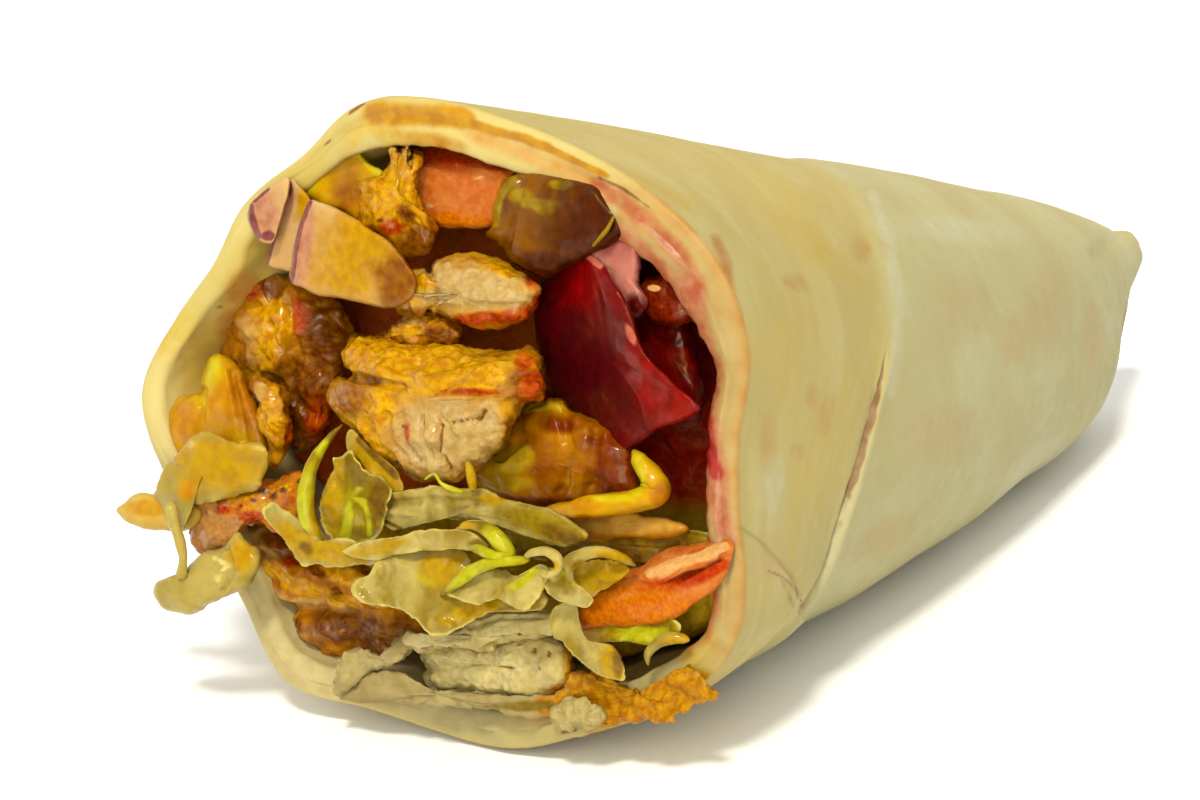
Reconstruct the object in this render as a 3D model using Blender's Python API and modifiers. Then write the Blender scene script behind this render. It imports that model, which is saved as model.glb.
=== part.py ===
"""Shawarma wrap lying on its side: a flatbread rolled to a cone, with the filling in its open mouth.

The wrap is laid out in its own frame, in millimetres: the mouth is the plane y = 0, the pinched
tip is at y = LENGTH, and an angle round the roll starts at +X and turns towards +Z. Every solid
is then tipped by LIE_ANGLE about X, so that the underside lies on the table, and moved so that
the origin is the middle of the base. The objects are in metres, +Z up.
"""

import math

import bmesh
import bpy
from mathutils import Matrix, Vector, noise

MM = 0.001
WELD = 0.00001

# The roll: its length, and its section at shares of that length as centre x, half width, top, bottom
LENGTH = 156.0
SECTIONS = (
    (0.000, 2.0, 42.0, 72.0, -1.5),
    (0.141, 3.0, 39.5, 68.5, 0.0),
    (0.321, 5.0, 35.0, 64.0, 3.5),
    (0.513, 7.0, 28.5, 60.0, 8.5),
    (0.673, 8.5, 21.5, 56.5, 13.0),
    (0.801, 9.5, 15.8, 53.5, 17.0),
    (0.897, 10.5, 10.0, 50.2, 21.6),
    (0.962, 11.0, 5.8, 47.4, 27.4),
    (1.000, 11.5, 2.8, 45.5, 35.2),
)
SQUARENESS = 2.25

# The uneven mouth: how far its edge stands out or in every 15 degrees, and how deep that reaches
MOUTH_LOBES = (
    -0.4, 1.1, 1.3, -0.7, -2.0, -1.6, -0.3, -0.9, -4.2, -4.8, -5.6, -2.0,
    1.4, -1.4, -4.6, -3.2, 0.8, -0.4, 0.6, 1.6, 1.6, 3.6, 5.0, 1.4,
)
LOBE_DEPTH = 38.0
RIM_WAVE = 0.9

# The bread: two turns thick, parted at the rim where the outer turn ends
WALL = 3.4
BASE_WALL = 4.6
RIM_ROUNDING = 0.7
LAYER_GAP_DEPTH = 4.0
LAYER_GAP_FROM = 5.0
LAYER_GAP_TO = 125.0
CAVITY_END = 136.0

# The seam: the outer turn's edge, which bends up and climbs round the roll to SEAM_HIGH_ANGLE, and
# the step up on its tip side
SEAM_LOW = 24.5
SEAM_LOW_ANGLE = -40.0
SEAM_BEND = 0.13
SEAM_CLIMB = 96.0
SEAM_HIGH_ANGLE = 180.0
SEAM_STEP = 0.5
SEAM_DIP = 0.6
SEAM_HALF_WIDTH = 0.7
SEAM_FADE = 42.0
DIP_FADE = 20.0

# How it lies: tipped, then sunk to a flat spot on its underside
LIE_ANGLE = math.radians(8.9)
BASE_CENTRE = Vector((1.15, 75.787, 8.753))

# Facets: points round the roll, where the rows of points run on each side of the seam, and across
# the rim's thickness, as a share of the wall and whether that row is sunk between the two turns
ROUND = 40
ROWS_BEFORE_SEAM = (0.0, 0.18, 0.45, 0.75)
RIM_ROWS = ((0.14, 0.0), (0.42, 0.0), (0.50, 1.0), (0.58, 0.0), (0.86, 0.0))
ROWS_AFTER_SEAM = (0.14, 0.32, 0.52, 0.70, 0.83, 0.92, 0.97, 1.0)
INNER_ROWS = (1.0, 8.0, 20.0, 36.0, 56.0, 80.0, 108.0, 126.0, CAVITY_END)

# The mixed filling behind the pieces that show, and the gap that keeps solids apart
CORE_FRONT = 18.0
CORE_RELIEF = 2.2
CLEARANCE = 0.36
CORE_CLEARANCE = 0.5

# A lump rounded all the way to a ball reaches a little past its block's sides
BALL_REACH = 1.1

BREAD = ((0.72, 0.58, 0.30), 0.75)
CHICKEN = ((0.62, 0.30, 0.06), 0.5)
CHICKEN_CUT = ((0.72, 0.52, 0.28), 0.6)
LETTUCE = ((0.52, 0.60, 0.14), 0.45)
LETTUCE_PALE = ((0.66, 0.62, 0.32), 0.45)
ONION = ((0.66, 0.42, 0.30), 0.4)
PICKLED_PEPPER = ((0.55, 0.45, 0.04), 0.35)
PICKLE = ((0.18, 0.17, 0.02), 0.35)
BEET = ((0.28, 0.01, 0.03), 0.3)
TURNIP = ((0.60, 0.14, 0.20), 0.35)
TOMATO = ((0.72, 0.16, 0.04), 0.35)
CARROT = ((0.75, 0.30, 0.04), 0.45)
CORE = ((0.35, 0.10, 0.02), 0.5)

parts = None
cutters = None


def clear_scene():
    for thing in list(bpy.data.objects):
        bpy.data.objects.remove(thing, do_unlink=True)


def new_collection(name):
    group = bpy.data.collections.new(name)
    bpy.context.scene.collection.children.link(group)
    return group


def make_material(name, finish):
    colour, roughness = finish
    material = bpy.data.materials.new(name)
    material.use_nodes = True
    shader = material.node_tree.nodes["Principled BSDF"]
    shader.inputs["Base Color"].default_value = (*colour, 1.0)
    shader.inputs["Roughness"].default_value = roughness
    shader.inputs["Metallic"].default_value = 0.0
    return material


def add_object(name, mesh, finish):
    thing = bpy.data.objects.new(name, mesh)
    parts.objects.link(thing)
    mesh.materials.clear()
    mesh.materials.append(make_material(name, finish))
    return thing


def smoothstep(low, high, value):
    share = min(max((value - low) / (high - low), 0.0), 1.0)
    return share * share * (3.0 - 2.0 * share)


def cubic(before, start, end, after, share):
    """Catmull-Rom curve through start and end."""
    pull_in = (end - before) / 2.0
    pull_out = (after - start) / 2.0
    square = share * share
    cube = square * share
    return (
        (2 * cube - 3 * square + 1) * start
        + (cube - 2 * square + share) * pull_in
        + (3 * square - 2 * cube) * end
        + (cube - square) * pull_out
    )


def curve_point(points, share):
    """A point on the smooth curve through a list of vectors, share from 0 to 1."""
    spans = len(points) - 1
    span = min(int(share * spans), spans - 1)
    before = points[span - 1] if span else points[0] * 2 - points[1]
    after = points[span + 2] if span + 2 <= spans else points[spans] * 2 - points[spans - 1]
    return cubic(before, points[span], points[span + 1], after, share * spans - span)


# The roll's surfaces


def section_at(y):
    """Centre x, half width, top and bottom of the roll at a depth."""
    share = min(max(y / LENGTH, 0.0), 1.0)
    last = len(SECTIONS) - 2
    at = max(k for k in range(last + 1) if SECTIONS[k][0] <= share)
    start = SECTIONS[at]
    end = SECTIONS[at + 1]
    run = end[0] - start[0]
    low = SECTIONS[max(at - 1, 0)]
    high = SECTIONS[min(at + 2, last + 1)]
    t = (share - start[0]) / run
    values = []
    for k in range(1, 5):
        slope_in = (end[k] - low[k]) / (end[0] - low[0]) * run
        slope_out = (high[k] - start[k]) / (high[0] - start[0]) * run
        values.append(
            (2 * t**3 - 3 * t**2 + 1) * start[k]
            + (t**3 - 2 * t**2 + t) * slope_in
            + (3 * t**2 - 2 * t**3) * end[k]
            + (t**3 - t**2) * slope_out
        )
    return values


def mouth_lobe(angle):
    """How far the mouth's edge stands out at an angle in degrees."""
    step = 360.0 / len(MOUTH_LOBES)
    place = (angle % 360.0) / step
    first = int(place) % len(MOUTH_LOBES)
    around = [MOUTH_LOBES[(first + k) % len(MOUTH_LOBES)] for k in (-1, 0, 1, 2)]
    return cubic(*around, place - int(place))


def seam_y(angle):
    """Depth of the outer turn's edge, which climbs and then drops back out of sight underneath."""
    turn = (angle - SEAM_LOW_ANGLE) % 360.0
    climb = SEAM_HIGH_ANGLE - SEAM_LOW_ANGLE
    share = min(turn / climb, 1.0)
    rise = SEAM_CLIMB * (share - SEAM_BEND * (1.0 - math.exp(-share / SEAM_BEND)))
    return SEAM_LOW + rise * (1.0 - smoothstep(climb, 360.0, turn))


def seam_strength(angle):
    turn = (angle - SEAM_LOW_ANGLE + 20.0) % 360.0
    climb = SEAM_HIGH_ANGLE - SEAM_LOW_ANGLE + 20.0
    return smoothstep(0.0, 20.0, turn) * (1.0 - smoothstep(climb - 25.0, climb, turn))


def outer_point(y, angle, inset=0.0):
    """A point on the roll's outside, or that far inside it."""
    centre_x, half_width, top, bottom = section_at(y)
    radians = math.radians(angle)
    across = math.cos(radians)
    up = math.sin(radians)
    unit = (abs(across) ** SQUARENESS + abs(up) ** SQUARENESS) ** (-1.0 / SQUARENESS)
    lobe = mouth_lobe(angle) * (1.0 - smoothstep(0.0, LOBE_DEPTH, y))
    past_seam = y - seam_y(angle)
    if past_seam > 0.0:
        step = SEAM_STEP * (1.0 - smoothstep(0.0, SEAM_FADE, past_seam))
    else:
        step = -SEAM_DIP * (1.0 - smoothstep(0.0, DIP_FADE, -past_seam))
    grow = lobe + step * seam_strength(angle) - inset
    half_height = (top - bottom) / 2.0
    return Vector((
        centre_x + half_width * unit * across + grow * across,
        y,
        (top + bottom) / 2.0 + half_height * unit * up + grow * up,
    ))


def wall_at(angle):
    """The wall is thicker underneath, where the turns are folded."""
    below = max(-math.sin(math.radians(angle)), 0.0)
    return WALL + (BASE_WALL - WALL) * below


def inner_point(y, angle, inset=0.0):
    """A point on the wall of the cavity, whose end closes like a rounded bag."""
    closing = smoothstep(CAVITY_END - 34.0, CAVITY_END + 6.0, y)
    wall = wall_at(angle) * (1.0 + 0.5 * closing) + inset
    return outer_point(y, angle, min(wall, 0.7 * section_at(y)[1]))


def rim_shift(angle):
    """The rim's edge isn't quite flat."""
    radians = math.radians(angle)
    return RIM_WAVE * (math.sin(3.0 * radians + 0.6) + 0.6 * math.sin(7.0 * radians))


def lying(point):
    """From the wrap's frame in millimetres to its place on the table in metres."""
    turned = Matrix.Rotation(-LIE_ANGLE, 3, "X") @ (point - BASE_CENTRE)
    return turned * MM


def on_table(point):
    """The same for the outside of the bread, pressed flat where it meets the table."""
    placed = lying(point)
    placed.z = max(placed.z, 0.0)
    return placed


# Tools for solids


def loft(rings, close_start, close_end):
    """Closed skin through rings of points, with a fan to a point at each end."""
    mesh = bmesh.new()
    rows = [[mesh.verts.new(point) for point in ring] for ring in rings]
    count = len(rings[0])
    for near, far in zip(rows, rows[1:]):
        for k in range(count):
            after = (k + 1) % count
            mesh.faces.new((near[k], near[after], far[after], far[k]))
    for row, end in ((rows[0], close_start), (rows[-1], close_end)):
        middle = mesh.verts.new(end)
        for k in range(count):
            mesh.faces.new((row[k], row[(k + 1) % count], middle))
    return mesh


def face_outward(shape):
    bmesh.ops.recalc_face_normals(shape, faces=shape.faces)
    if shape.calc_volume(signed=True) < 0.0:
        bmesh.ops.reverse_faces(shape, faces=shape.faces)


def mesh_from(shape, name):
    mesh = bpy.data.meshes.new(name)
    bmesh.ops.triangulate(shape, faces=shape.faces)
    face_outward(shape)
    for face in shape.faces:
        face.smooth = True
    shape.to_mesh(mesh)
    shape.free()
    return mesh


def apply_modifiers(thing):
    graph = bpy.context.evaluated_depsgraph_get()
    mesh = bpy.data.meshes.new_from_object(thing.evaluated_get(graph))
    thing.modifiers.clear()
    thing.data = mesh


def boxes_meet(first, second):
    corners = []
    for thing in (first, second):
        points = [vertex.co for vertex in thing.data.vertices]
        corners.append([(min(p[k] for p in points), max(p[k] for p in points)) for k in range(3)])
    return all(a[0] <= b[1] and b[0] <= a[1] for a, b in zip(*corners))


def grown_copy(thing, distance):
    """A cutter that is the solid grown by a distance."""
    copy = bpy.data.objects.new(thing.name + "_clearance", thing.data.copy())
    copy.hide_render = True
    copy.display_type = "WIRE"
    cutters.objects.link(copy)
    shape = bmesh.new()
    shape.from_mesh(copy.data)
    shape.normal_update()
    moves = [v.normal * distance * MM * min(v.calc_shell_factor(), 1.7) for v in shape.verts]
    for vertex, move in zip(shape.verts, moves):
        vertex.co += move
    shape.to_mesh(copy.data)
    shape.free()
    return copy


def is_closed(thing):
    """Whether every edge joins two faces once points that touch are one."""
    shape = bmesh.new()
    shape.from_mesh(thing.data)
    bmesh.ops.remove_doubles(shape, verts=shape.verts, dist=WELD)
    shape.to_mesh(thing.data)
    closed = len(shape.faces) > 0 and all(edge.is_manifold for edge in shape.edges)
    closed = closed and shape.calc_volume(signed=True) > 0.0
    shape.free()
    return closed


def cut(thing, cutter):
    """Cut by the EXACT solver or, where thin walls defeat it, by MANIFOLD."""
    whole = thing.data
    for solver in ("EXACT", "MANIFOLD"):
        thing.data = whole.copy()
        modifier = thing.modifiers.new("Clearance", "BOOLEAN")
        modifier.operation = "DIFFERENCE"
        modifier.solver = solver
        modifier.object = cutter
        apply_modifiers(thing)
        if is_closed(thing):
            return
    raise RuntimeError(f"{cutter.name} can't be cut from {thing.name}")


def keep_largest_body(thing):
    shape = bmesh.new()
    shape.from_mesh(thing.data)
    left = set(shape.faces)
    bodies = []
    while left:
        body = set()
        edge_of_body = [left.pop()]
        while edge_of_body:
            face = edge_of_body.pop()
            body.add(face)
            near = {f for edge in face.edges for f in edge.link_faces} & left
            left -= near
            edge_of_body.extend(near)
        bodies.append(body)
    largest = max(bodies, key=lambda body: sum(face.calc_area() for face in body))
    loose = [face for body in bodies if body is not largest for face in body]
    bmesh.ops.delete(shape, geom=loose, context="FACES")
    bmesh.ops.triangulate(shape, faces=shape.faces)
    shape.to_mesh(thing.data)
    shape.free()


# Bread and core


def row_before_seam(share, angle):
    """Depth of a row of points between the rim, at share 0, and the seam."""
    rim = rim_shift(angle)
    return rim + RIM_ROUNDING + share * (seam_y(angle) - SEAM_HALF_WIDTH - RIM_ROUNDING - rim)


def row_after_seam(share, angle):
    """Depth of a row of points between the seam and the tip, at share 1."""
    start = seam_y(angle) + SEAM_HALF_WIDTH
    return start + share * (LENGTH - start)


def layer_gap(angle):
    """How deep the two turns are parted at the rim."""
    opened = smoothstep(LAYER_GAP_FROM, LAYER_GAP_FROM + 15.0, angle)
    return LAYER_GAP_DEPTH * opened * (1.0 - smoothstep(LAYER_GAP_TO - 15.0, LAYER_GAP_TO, angle))


def make_bread():
    """The rolled bread: outside from tip to rim, the parted rim, then the cavity to its end."""
    angles = [360.0 * k / ROUND for k in range(ROUND)]
    rings = []
    for share in reversed(ROWS_AFTER_SEAM):
        rings.append([on_table(outer_point(row_after_seam(share, a), a)) for a in angles])
    for side in (SEAM_HALF_WIDTH, -SEAM_HALF_WIDTH):
        rings.append([on_table(outer_point(seam_y(a) + side, a)) for a in angles])
    for share in reversed(ROWS_BEFORE_SEAM):
        rings.append([on_table(outer_point(row_before_seam(share, a), a)) for a in angles])
    for across, parted in RIM_ROWS:
        rings.append([
            on_table(outer_point(rim_shift(a) + parted * layer_gap(a), a, wall_at(a) * across))
            for a in angles
        ])
    for y in INNER_ROWS:
        near_rim = 1.0 - smoothstep(0.0, 20.0, y)
        rings.append([lying(inner_point(y + rim_shift(a) * near_rim, a)) for a in angles])
    centre_x, _, top, bottom = section_at(LENGTH)
    tip = lying(Vector((centre_x, LENGTH + 1.0, (top + bottom) / 2.0)))
    centre_x, _, top, bottom = section_at(CAVITY_END)
    end = lying(Vector((centre_x, CAVITY_END + 2.0, (top + bottom) / 2.0)))
    return add_object("flatbread", mesh_from(loft(rings, tip, end), "flatbread"), BREAD)


def make_core():
    """The mixed filling that runs on behind the pieces that show, with a lumpy front."""
    count = ROUND // 2
    angles = [360.0 * k / count for k in range(count)]
    middle = Vector((2.0, 0.0, 35.0))
    rings = []
    for share in (0.3, 0.6, 0.85):
        ring = []
        for a in angles:
            edge = inner_point(CORE_FRONT, a, CORE_CLEARANCE)
            point = middle.lerp(edge, share)
            point.y = CORE_FRONT + CORE_RELIEF * noise.noise(point * 0.13)
            ring.append(lying(point))
        rings.append(ring)
    rows = [y for y in INNER_ROWS if y > CORE_FRONT and y < CAVITY_END]
    for y in (CORE_FRONT + 2.0, *rows):
        rings.append([lying(inner_point(y, a, CORE_CLEARANCE)) for a in angles])
    front = lying(middle + Vector((0.0, CORE_FRONT, 0.0)))
    centre_x, _, top, bottom = section_at(rows[-1])
    back = lying(Vector((centre_x, rows[-1] + 3.0, (top + bottom) / 2.0)))
    return add_object("filling_core", mesh_from(loft(rings, front, back), "filling_core"), CORE)


# Pieces of the filling


def place(shape, at, turn):
    """Turn a shape by its lean, roll and swing in degrees, put it in the wrap, and lie it down."""
    lean, roll, swing = (math.radians(value) for value in turn)
    rotation = (
        Matrix.Rotation(swing, 3, "Z") @ Matrix.Rotation(roll, 3, "Y") @ Matrix.Rotation(lean, 3, "X")
    )
    for vertex in shape.verts:
        vertex.co = lying(rotation @ vertex.co + Vector(at))


def chunk(name, at, size, finish, turn=(0, 0, 0), rounding=0.8, crag=0.8, taper=0.0, shear=0.0,
          seed=1, cuts=2):
    """A lump between a block and a ball, roughened by crags, its right end narrowed by taper."""
    shape = bmesh.new()
    bmesh.ops.create_cube(shape, size=2.0)
    bmesh.ops.subdivide_edges(shape, edges=shape.edges, cuts=cuts, use_grid_fill=True)
    half = [side / 2.0 for side in size]
    offset = Vector((seed * 7.3, seed * 3.1, -seed * 5.7))
    for vertex in shape.verts:
        ray = vertex.co.normalized()
        reach = vertex.co.lerp(ray * BALL_REACH, rounding)
        narrow = 1.0 - taper * (reach.x * 0.5 + 0.5)
        point = Vector((
            reach.x * half[0] + shear * reach.z * half[2],
            reach.y * half[1] * narrow,
            reach.z * half[2] * narrow,
        ))
        lump = noise.noise(point * 0.22 + offset) + 0.5 * noise.noise(point * 0.55 + offset)
        vertex.co = point + ray * crag * lump * 1.6
    place(shape, at, turn)
    return add_object(name, mesh_from(shape, name), finish)


def leaf(name, spine, width, finish, face=(0, -1, 0), thick=0.9, wave=0.6, seed=1, rows=7, columns=3):
    """A thin wavy sheet along a spine, widest in the middle, lying across the way it faces."""
    points = [Vector(point) for point in spine]
    shape = bmesh.new()
    grid = []
    offset = Vector((seed * 4.7, -seed * 2.9, seed * 6.1))
    for row in range(rows + 1):
        share = row / rows
        here = curve_point(points, share)
        ahead = curve_point(points, min(share + 0.02, 1.0)) - curve_point(points, max(share - 0.02, 0.0))
        across = ahead.cross(Vector(face)).normalized()
        outward = across.cross(ahead).normalized()
        swell = 0.35 + 0.65 * math.sin(math.pi * (0.08 + 0.84 * share)) ** 0.7
        line = []
        for column in range(columns + 1):
            side = column / columns * 2.0 - 1.0
            ragged = 1.0 + 0.22 * noise.noise(Vector((share * 6.0, side * 2.0, seed * 3.3)))
            point = here + across * side * swell * ragged * width / 2.0
            lift = noise.noise(point * 0.28 + offset) * wave * 2.0 - wave * 0.8 * (1.0 - side * side)
            line.append(shape.verts.new(point + outward * lift))
        grid.append(line)
    for near, far in zip(grid, grid[1:]):
        for k in range(columns):
            shape.faces.new((near[k], near[k + 1], far[k + 1], far[k]))
    for vertex in shape.verts:
        vertex.co = lying(vertex.co)
    thing = add_object(name, mesh_from(shape, name), finish)
    sheet = thing.modifiers.new("Thickness", "SOLIDIFY")
    sheet.thickness = thick * MM
    sheet.offset = 0.0
    sheet.use_even_offset = True
    apply_modifiers(thing)
    solid = bmesh.new()
    solid.from_mesh(thing.data)
    face_outward(solid)
    solid.to_mesh(thing.data)
    solid.free()
    return thing


def make_lettuce():
    """The lettuce in the lower middle of the mouth, front leaves first."""
    return [
        leaf("lettuce_big", [(-1.4, -9, 16), (4, -10.5, 18.5), (10, -10, 18), (15.5, -8.5, 15.5)],
             8.5, LETTUCE_PALE, seed=2),
        leaf("lettuce_mid", [(9.5, -5.5, 15.5), (14.5, -7, 18.2), (20, -7, 18.7), (24.4, -5.5, 17)],
             6.0, LETTUCE_PALE, face=(0, -1, 0.3), seed=3),
        leaf("lettuce_blade",
             [(-5.9, -6, 33.8), (-8.6, -8, 30.3), (-9.8, -9, 25.7), (-8.8, -9, 22), (-6, -8, 19.6)],
             2.8, LETTUCE, wave=0.3, seed=4, columns=2),
        leaf("lettuce_green", [(-4.2, -5, 20), (-3.6, -6.5, 25), (-4.3, -5, 31.2)],
             8.5, LETTUCE, wave=0.8, seed=5),
        leaf("lettuce_sliver", [(-4.8, -7, 35), (-2.6, -8, 30), (2.2, -7.5, 27.5)],
             2.6, LETTUCE_PALE, wave=0.3, seed=6, columns=2),
        leaf("lettuce_yellow", [(-14.5, -8, 24.3), (-9.8, -10, 20.8), (-5.5, -10.5, 19), (1, -9, 20.2)],
             4.2, LETTUCE_PALE, face=(0, -1, 0.6), seed=7),
        leaf("lettuce_ribbon", [(-2.5, -6.5, 22.2), (4, -7.5, 22.6), (12, -7, 22.4), (22.4, -4, 21.6)],
             7.5, LETTUCE_PALE, face=(0, -0.45, 1), seed=8),
        leaf("lettuce_curl", [(14.5, -9.5, 22.6), (17, -10.5, 23.8), (20, -9.5, 22.6), (22, -8, 21)],
             3.0, LETTUCE, face=(0, -1, 0.5), wave=0.9, seed=9, columns=2),
        leaf("lettuce_fold", [(23.2, -6.5, 20.4), (25.6, -8, 21.4), (28, -7.5, 18.8), (30.6, -6, 17.2)],
             3.6, LETTUCE_PALE, face=(0.2, -1, 0.4), wave=0.8, seed=10),
        leaf("lettuce_frill", [(26.5, -3, 22.2), (29, -4, 23.2), (32, -3, 22.6), (34.4, -2, 21.2)],
             2.8, LETTUCE_PALE, face=(0, -1, 0.8), wave=0.5, seed=11, columns=2),
        leaf("lettuce_tip", [(23, -5, 15), (26, -6, 13.3), (29, -5, 10.6), (31.3, -4, 9)],
             4.4, LETTUCE_PALE, wave=0.7, seed=12),
        leaf("lettuce_under_tomato", [(26.5, -2, 13.6), (31, -3, 13.2), (37.5, -1.5, 14.2)],
             2.6, LETTUCE, face=(0, -1, 0.4), wave=0.4, seed=13, columns=2),
        leaf("lettuce_spike", [(32.6, -1, 10.2), (34.6, -2, 12.0), (37.6, -1, 12.2)],
             1.8, LETTUCE, wave=0.3, seed=14, rows=5, columns=2),
        chunk("lettuce_rib", (11, -2, 26), (22.5, 9, 3.6), LETTUCE_PALE,
              turn=(-12, 2, 0), taper=0.35, crag=0.4, seed=15),
    ]


def make_chicken():
    """Roast chicken: the cut chunk in the middle and the pieces round it."""
    return [
        chunk("chicken_centre", (7.0, 5.5, 36.4), (26.5, 22, 14.5), CHICKEN_CUT,
              turn=(0, 5, 4), rounding=0.45, crag=1.2, seed=21, cuts=3),
        chunk("chicken_strip", (9.2, 7.5, 49.6), (21.5, 20, 7.2), CHICKEN_CUT,
              turn=(0, 3, 0), rounding=0.8, crag=0.9, taper=0.15, seed=22, cuts=3),
        chunk("chicken_crumb", (-1.5, 7, 45.3), (10, 10, 2.4), CHICKEN,
              turn=(0, -8, 0), crag=0.5, seed=23, cuts=2),
        chunk("chicken_low_slab", (13.4, 8, 9.0), (23.5, 20, 7.6), CHICKEN_CUT,
              turn=(-5, -5, 0), rounding=0.5, crag=0.7, seed=24, cuts=3),
        chunk("chicken_low_flake", (12.5, 7, 14.1), (22, 20, 2.6), CHICKEN_CUT,
              turn=(-7, -7, 0), rounding=0.6, crag=0.5, seed=25),
        chunk("chicken_left", (-26.0, 9, 38.5), (15, 15, 18), CHICKEN,
              turn=(0, 25, -20), rounding=0.95, crag=2.0, seed=26, cuts=3),
        chunk("chicken_left_tail", (-20.5, 5, 27.6), (4.5, 9, 8), CHICKEN,
              turn=(0, -8, 0), crag=0.8, seed=27, cuts=2),
        chunk("chicken_crust", (-18.6, 1, 22.8), (19, 14, 7.5), CHICKEN,
              turn=(0, -4, -12), crag=1.4, seed=28, cuts=3),
        chunk("chicken_low_left", (-15.0, 9, 12.0), (25, 16, 9.5), CHICKEN,
              turn=(0, 24, -10), rounding=0.95, crag=1.6, seed=29, cuts=3),
        chunk("chicken_top", (-4.0, 10, 58.6), (11.5, 14, 12.5), CHICKEN,
              turn=(0, 15, 0), crag=1.4, seed=30, cuts=3),
    ]


def make_vegetables():
    """Red onion, pickles, tomato, beet and turnip, peppers and cabbage."""
    return [
        chunk("onion_front", (-6.8, 4, 53.6), (16.5, 13, 8.6), ONION,
              turn=(0, 20, 6), rounding=0.25, crag=0.4, shear=0.25, seed=41),
        chunk("onion_slice_outer", (-19.0, -1.2, 55.6), (3.0, 5, 8.6), ONION,
              turn=(0, 14, -20), rounding=0.3, crag=0.3, seed=42, cuts=2),
        chunk("onion_slice_inner", (-15.2, 0.5, 56.4), (3.0, 8, 9.6), ONION,
              turn=(0, 12, -12), rounding=0.3, crag=0.3, seed=43, cuts=2),
        chunk("pepper_top", (-12.2, 9.5, 61.2), (11.5, 13, 7.2), PICKLED_PEPPER,
              turn=(0, 12, 0), rounding=0.4, crag=0.4, seed=44),
        chunk("tomato_top", (4.4, 9.5, 61.7), (14.5, 13, 8.0), TOMATO,
              turn=(0, 9, 0), rounding=0.4, crag=0.4, seed=45),
        chunk("pickle_slice", (19.8, 7, 57.2), (16.5, 15, 10.0), PICKLE,
              turn=(0, 20, 14), rounding=0.65, crag=0.5, taper=0.2, seed=46, cuts=3),
        chunk("pickle_ring", (28.6, 3, 57.2), (3.4, 6, 1.6), PICKLE,
              turn=(0, -25, 0), crag=0.1, seed=47, cuts=2),
        chunk("beet_wedge", (28.0, 6, 44.8), (22, 15, 11.0), BEET,
              turn=(0, 48, 0), rounding=0.25, crag=0.5, seed=48, cuts=3),
        chunk("turnip_back", (34.0, 14, 47.5), (8, 11, 15), TURNIP,
              turn=(0, -8, 0), crag=1.1, seed=49),
        chunk("tomato_side", (33.5, 6, 51.0), (6.5, 7, 5.2), TOMATO,
              turn=(0, 15, 0), crag=0.5, seed=50, cuts=2),
        chunk("turnip_slice", (27.0, 7, 55.0), (7.0, 7, 6.5), TURNIP,
              turn=(0, 30, 0), rounding=0.45, crag=0.3, seed=51, cuts=2),
        chunk("cabbage_mid", (16.0, 9, 31.2), (21, 13, 9.6), LETTUCE_PALE,
              turn=(0, -6, 0), rounding=0.95, crag=1.6, seed=52, cuts=3),
        leaf("pepper_sprig",
             [(18, -1, 25.6), (24, -2.5, 26.2), (31, -2.5, 27), (34.4, -1, 29), (31.2, 0, 33.2)],
             2.6, PICKLED_PEPPER, face=(0, -1, 0.3), thick=1.3, wave=0.3, seed=53, rows=10, columns=2),
        leaf("cabbage_strip", [(19, 3, 24.6), (27, 2, 24.2), (36, 3, 24.4)],
             6.0, PICKLED_PEPPER, face=(0, -0.4, 1), thick=1.2, seed=54),
        chunk("pepper_left", (-29.0, 2.5, 30.6), (15, 9, 10.5), PICKLED_PEPPER,
              turn=(0, 8, -15), rounding=0.65, crag=0.7, seed=55, cuts=3),
        leaf("onion_strip_left",
             [(-35, -5, 25.5), (-30.5, -6.5, 29.5), (-25, -6.5, 31.6), (-18.5, -5.5, 31.2)],
             5.0, LETTUCE_PALE, face=(-0.2, -1, 0.2), thick=1.2, wave=0.4, seed=56),
        leaf("onion_strand", [(-32.8, -7.5, 28), (-32, -8, 23.4), (-30, -8, 19.5), (-30, -7, 16.5)],
             1.6, LETTUCE_PALE, thick=1.3, wave=0.1, seed=57, columns=2),
        chunk("onion_blob", (-26.8, -4.5, 14.2), (14.5, 6, 6.2), LETTUCE_PALE,
              turn=(0, -28, 0), crag=0.5, taper=-0.2, seed=58),
        chunk("carrot_tip", (-36.0, -4.0, 21.2), (12.5, 5, 4.4), CARROT,
              turn=(0, 176, 0), taper=0.55, crag=0.2, seed=59, cuts=2),
        chunk("tomato_slice", (33.0, 2.5, 18.7), (21, 11, 5.2), TOMATO,
              turn=(-8, -20, 0), rounding=0.5, crag=0.4, taper=0.2, seed=60, cuts=3),
    ]


def make_torn_bread():
    """Torn folds of the inner turn, at the foot of the mouth."""
    return [
        leaf("bread_fold_left", [(-21, -1.5, 9), (-13, -2.5, 7.2), (-5, -2.5, 6.6), (2.5, -1.5, 8.6)],
             4.0, BREAD, face=(0, -1, 0.5), thick=1.8, wave=0.7, seed=71),
        leaf("bread_fold_right", [(17, -2, 4.2), (24, -3, 3.8), (31, -2.5, 5), (38, -1.5, 7)],
             3.4, BREAD, face=(0, -1, 0.5), thick=1.8, wave=0.6, seed=72),
    ]


def separate(pieces, bread, core):
    """Cut each piece clear of the bread and of the pieces before it, and the core clear of all."""
    bread_clearance = grown_copy(bread, CLEARANCE)
    clearances = [grown_copy(piece, CLEARANCE) for piece in pieces]
    for number, piece in enumerate(pieces):
        for cutter in (bread_clearance, *clearances[:number]):
            if boxes_meet(piece, cutter):
                cut(piece, cutter)
        keep_largest_body(piece)
    for cutter in clearances:
        if boxes_meet(core, cutter):
            cut(core, cutter)
    keep_largest_body(core)
    for cutter in (bread_clearance, *clearances):
        bpy.data.objects.remove(cutter, do_unlink=True)


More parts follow.
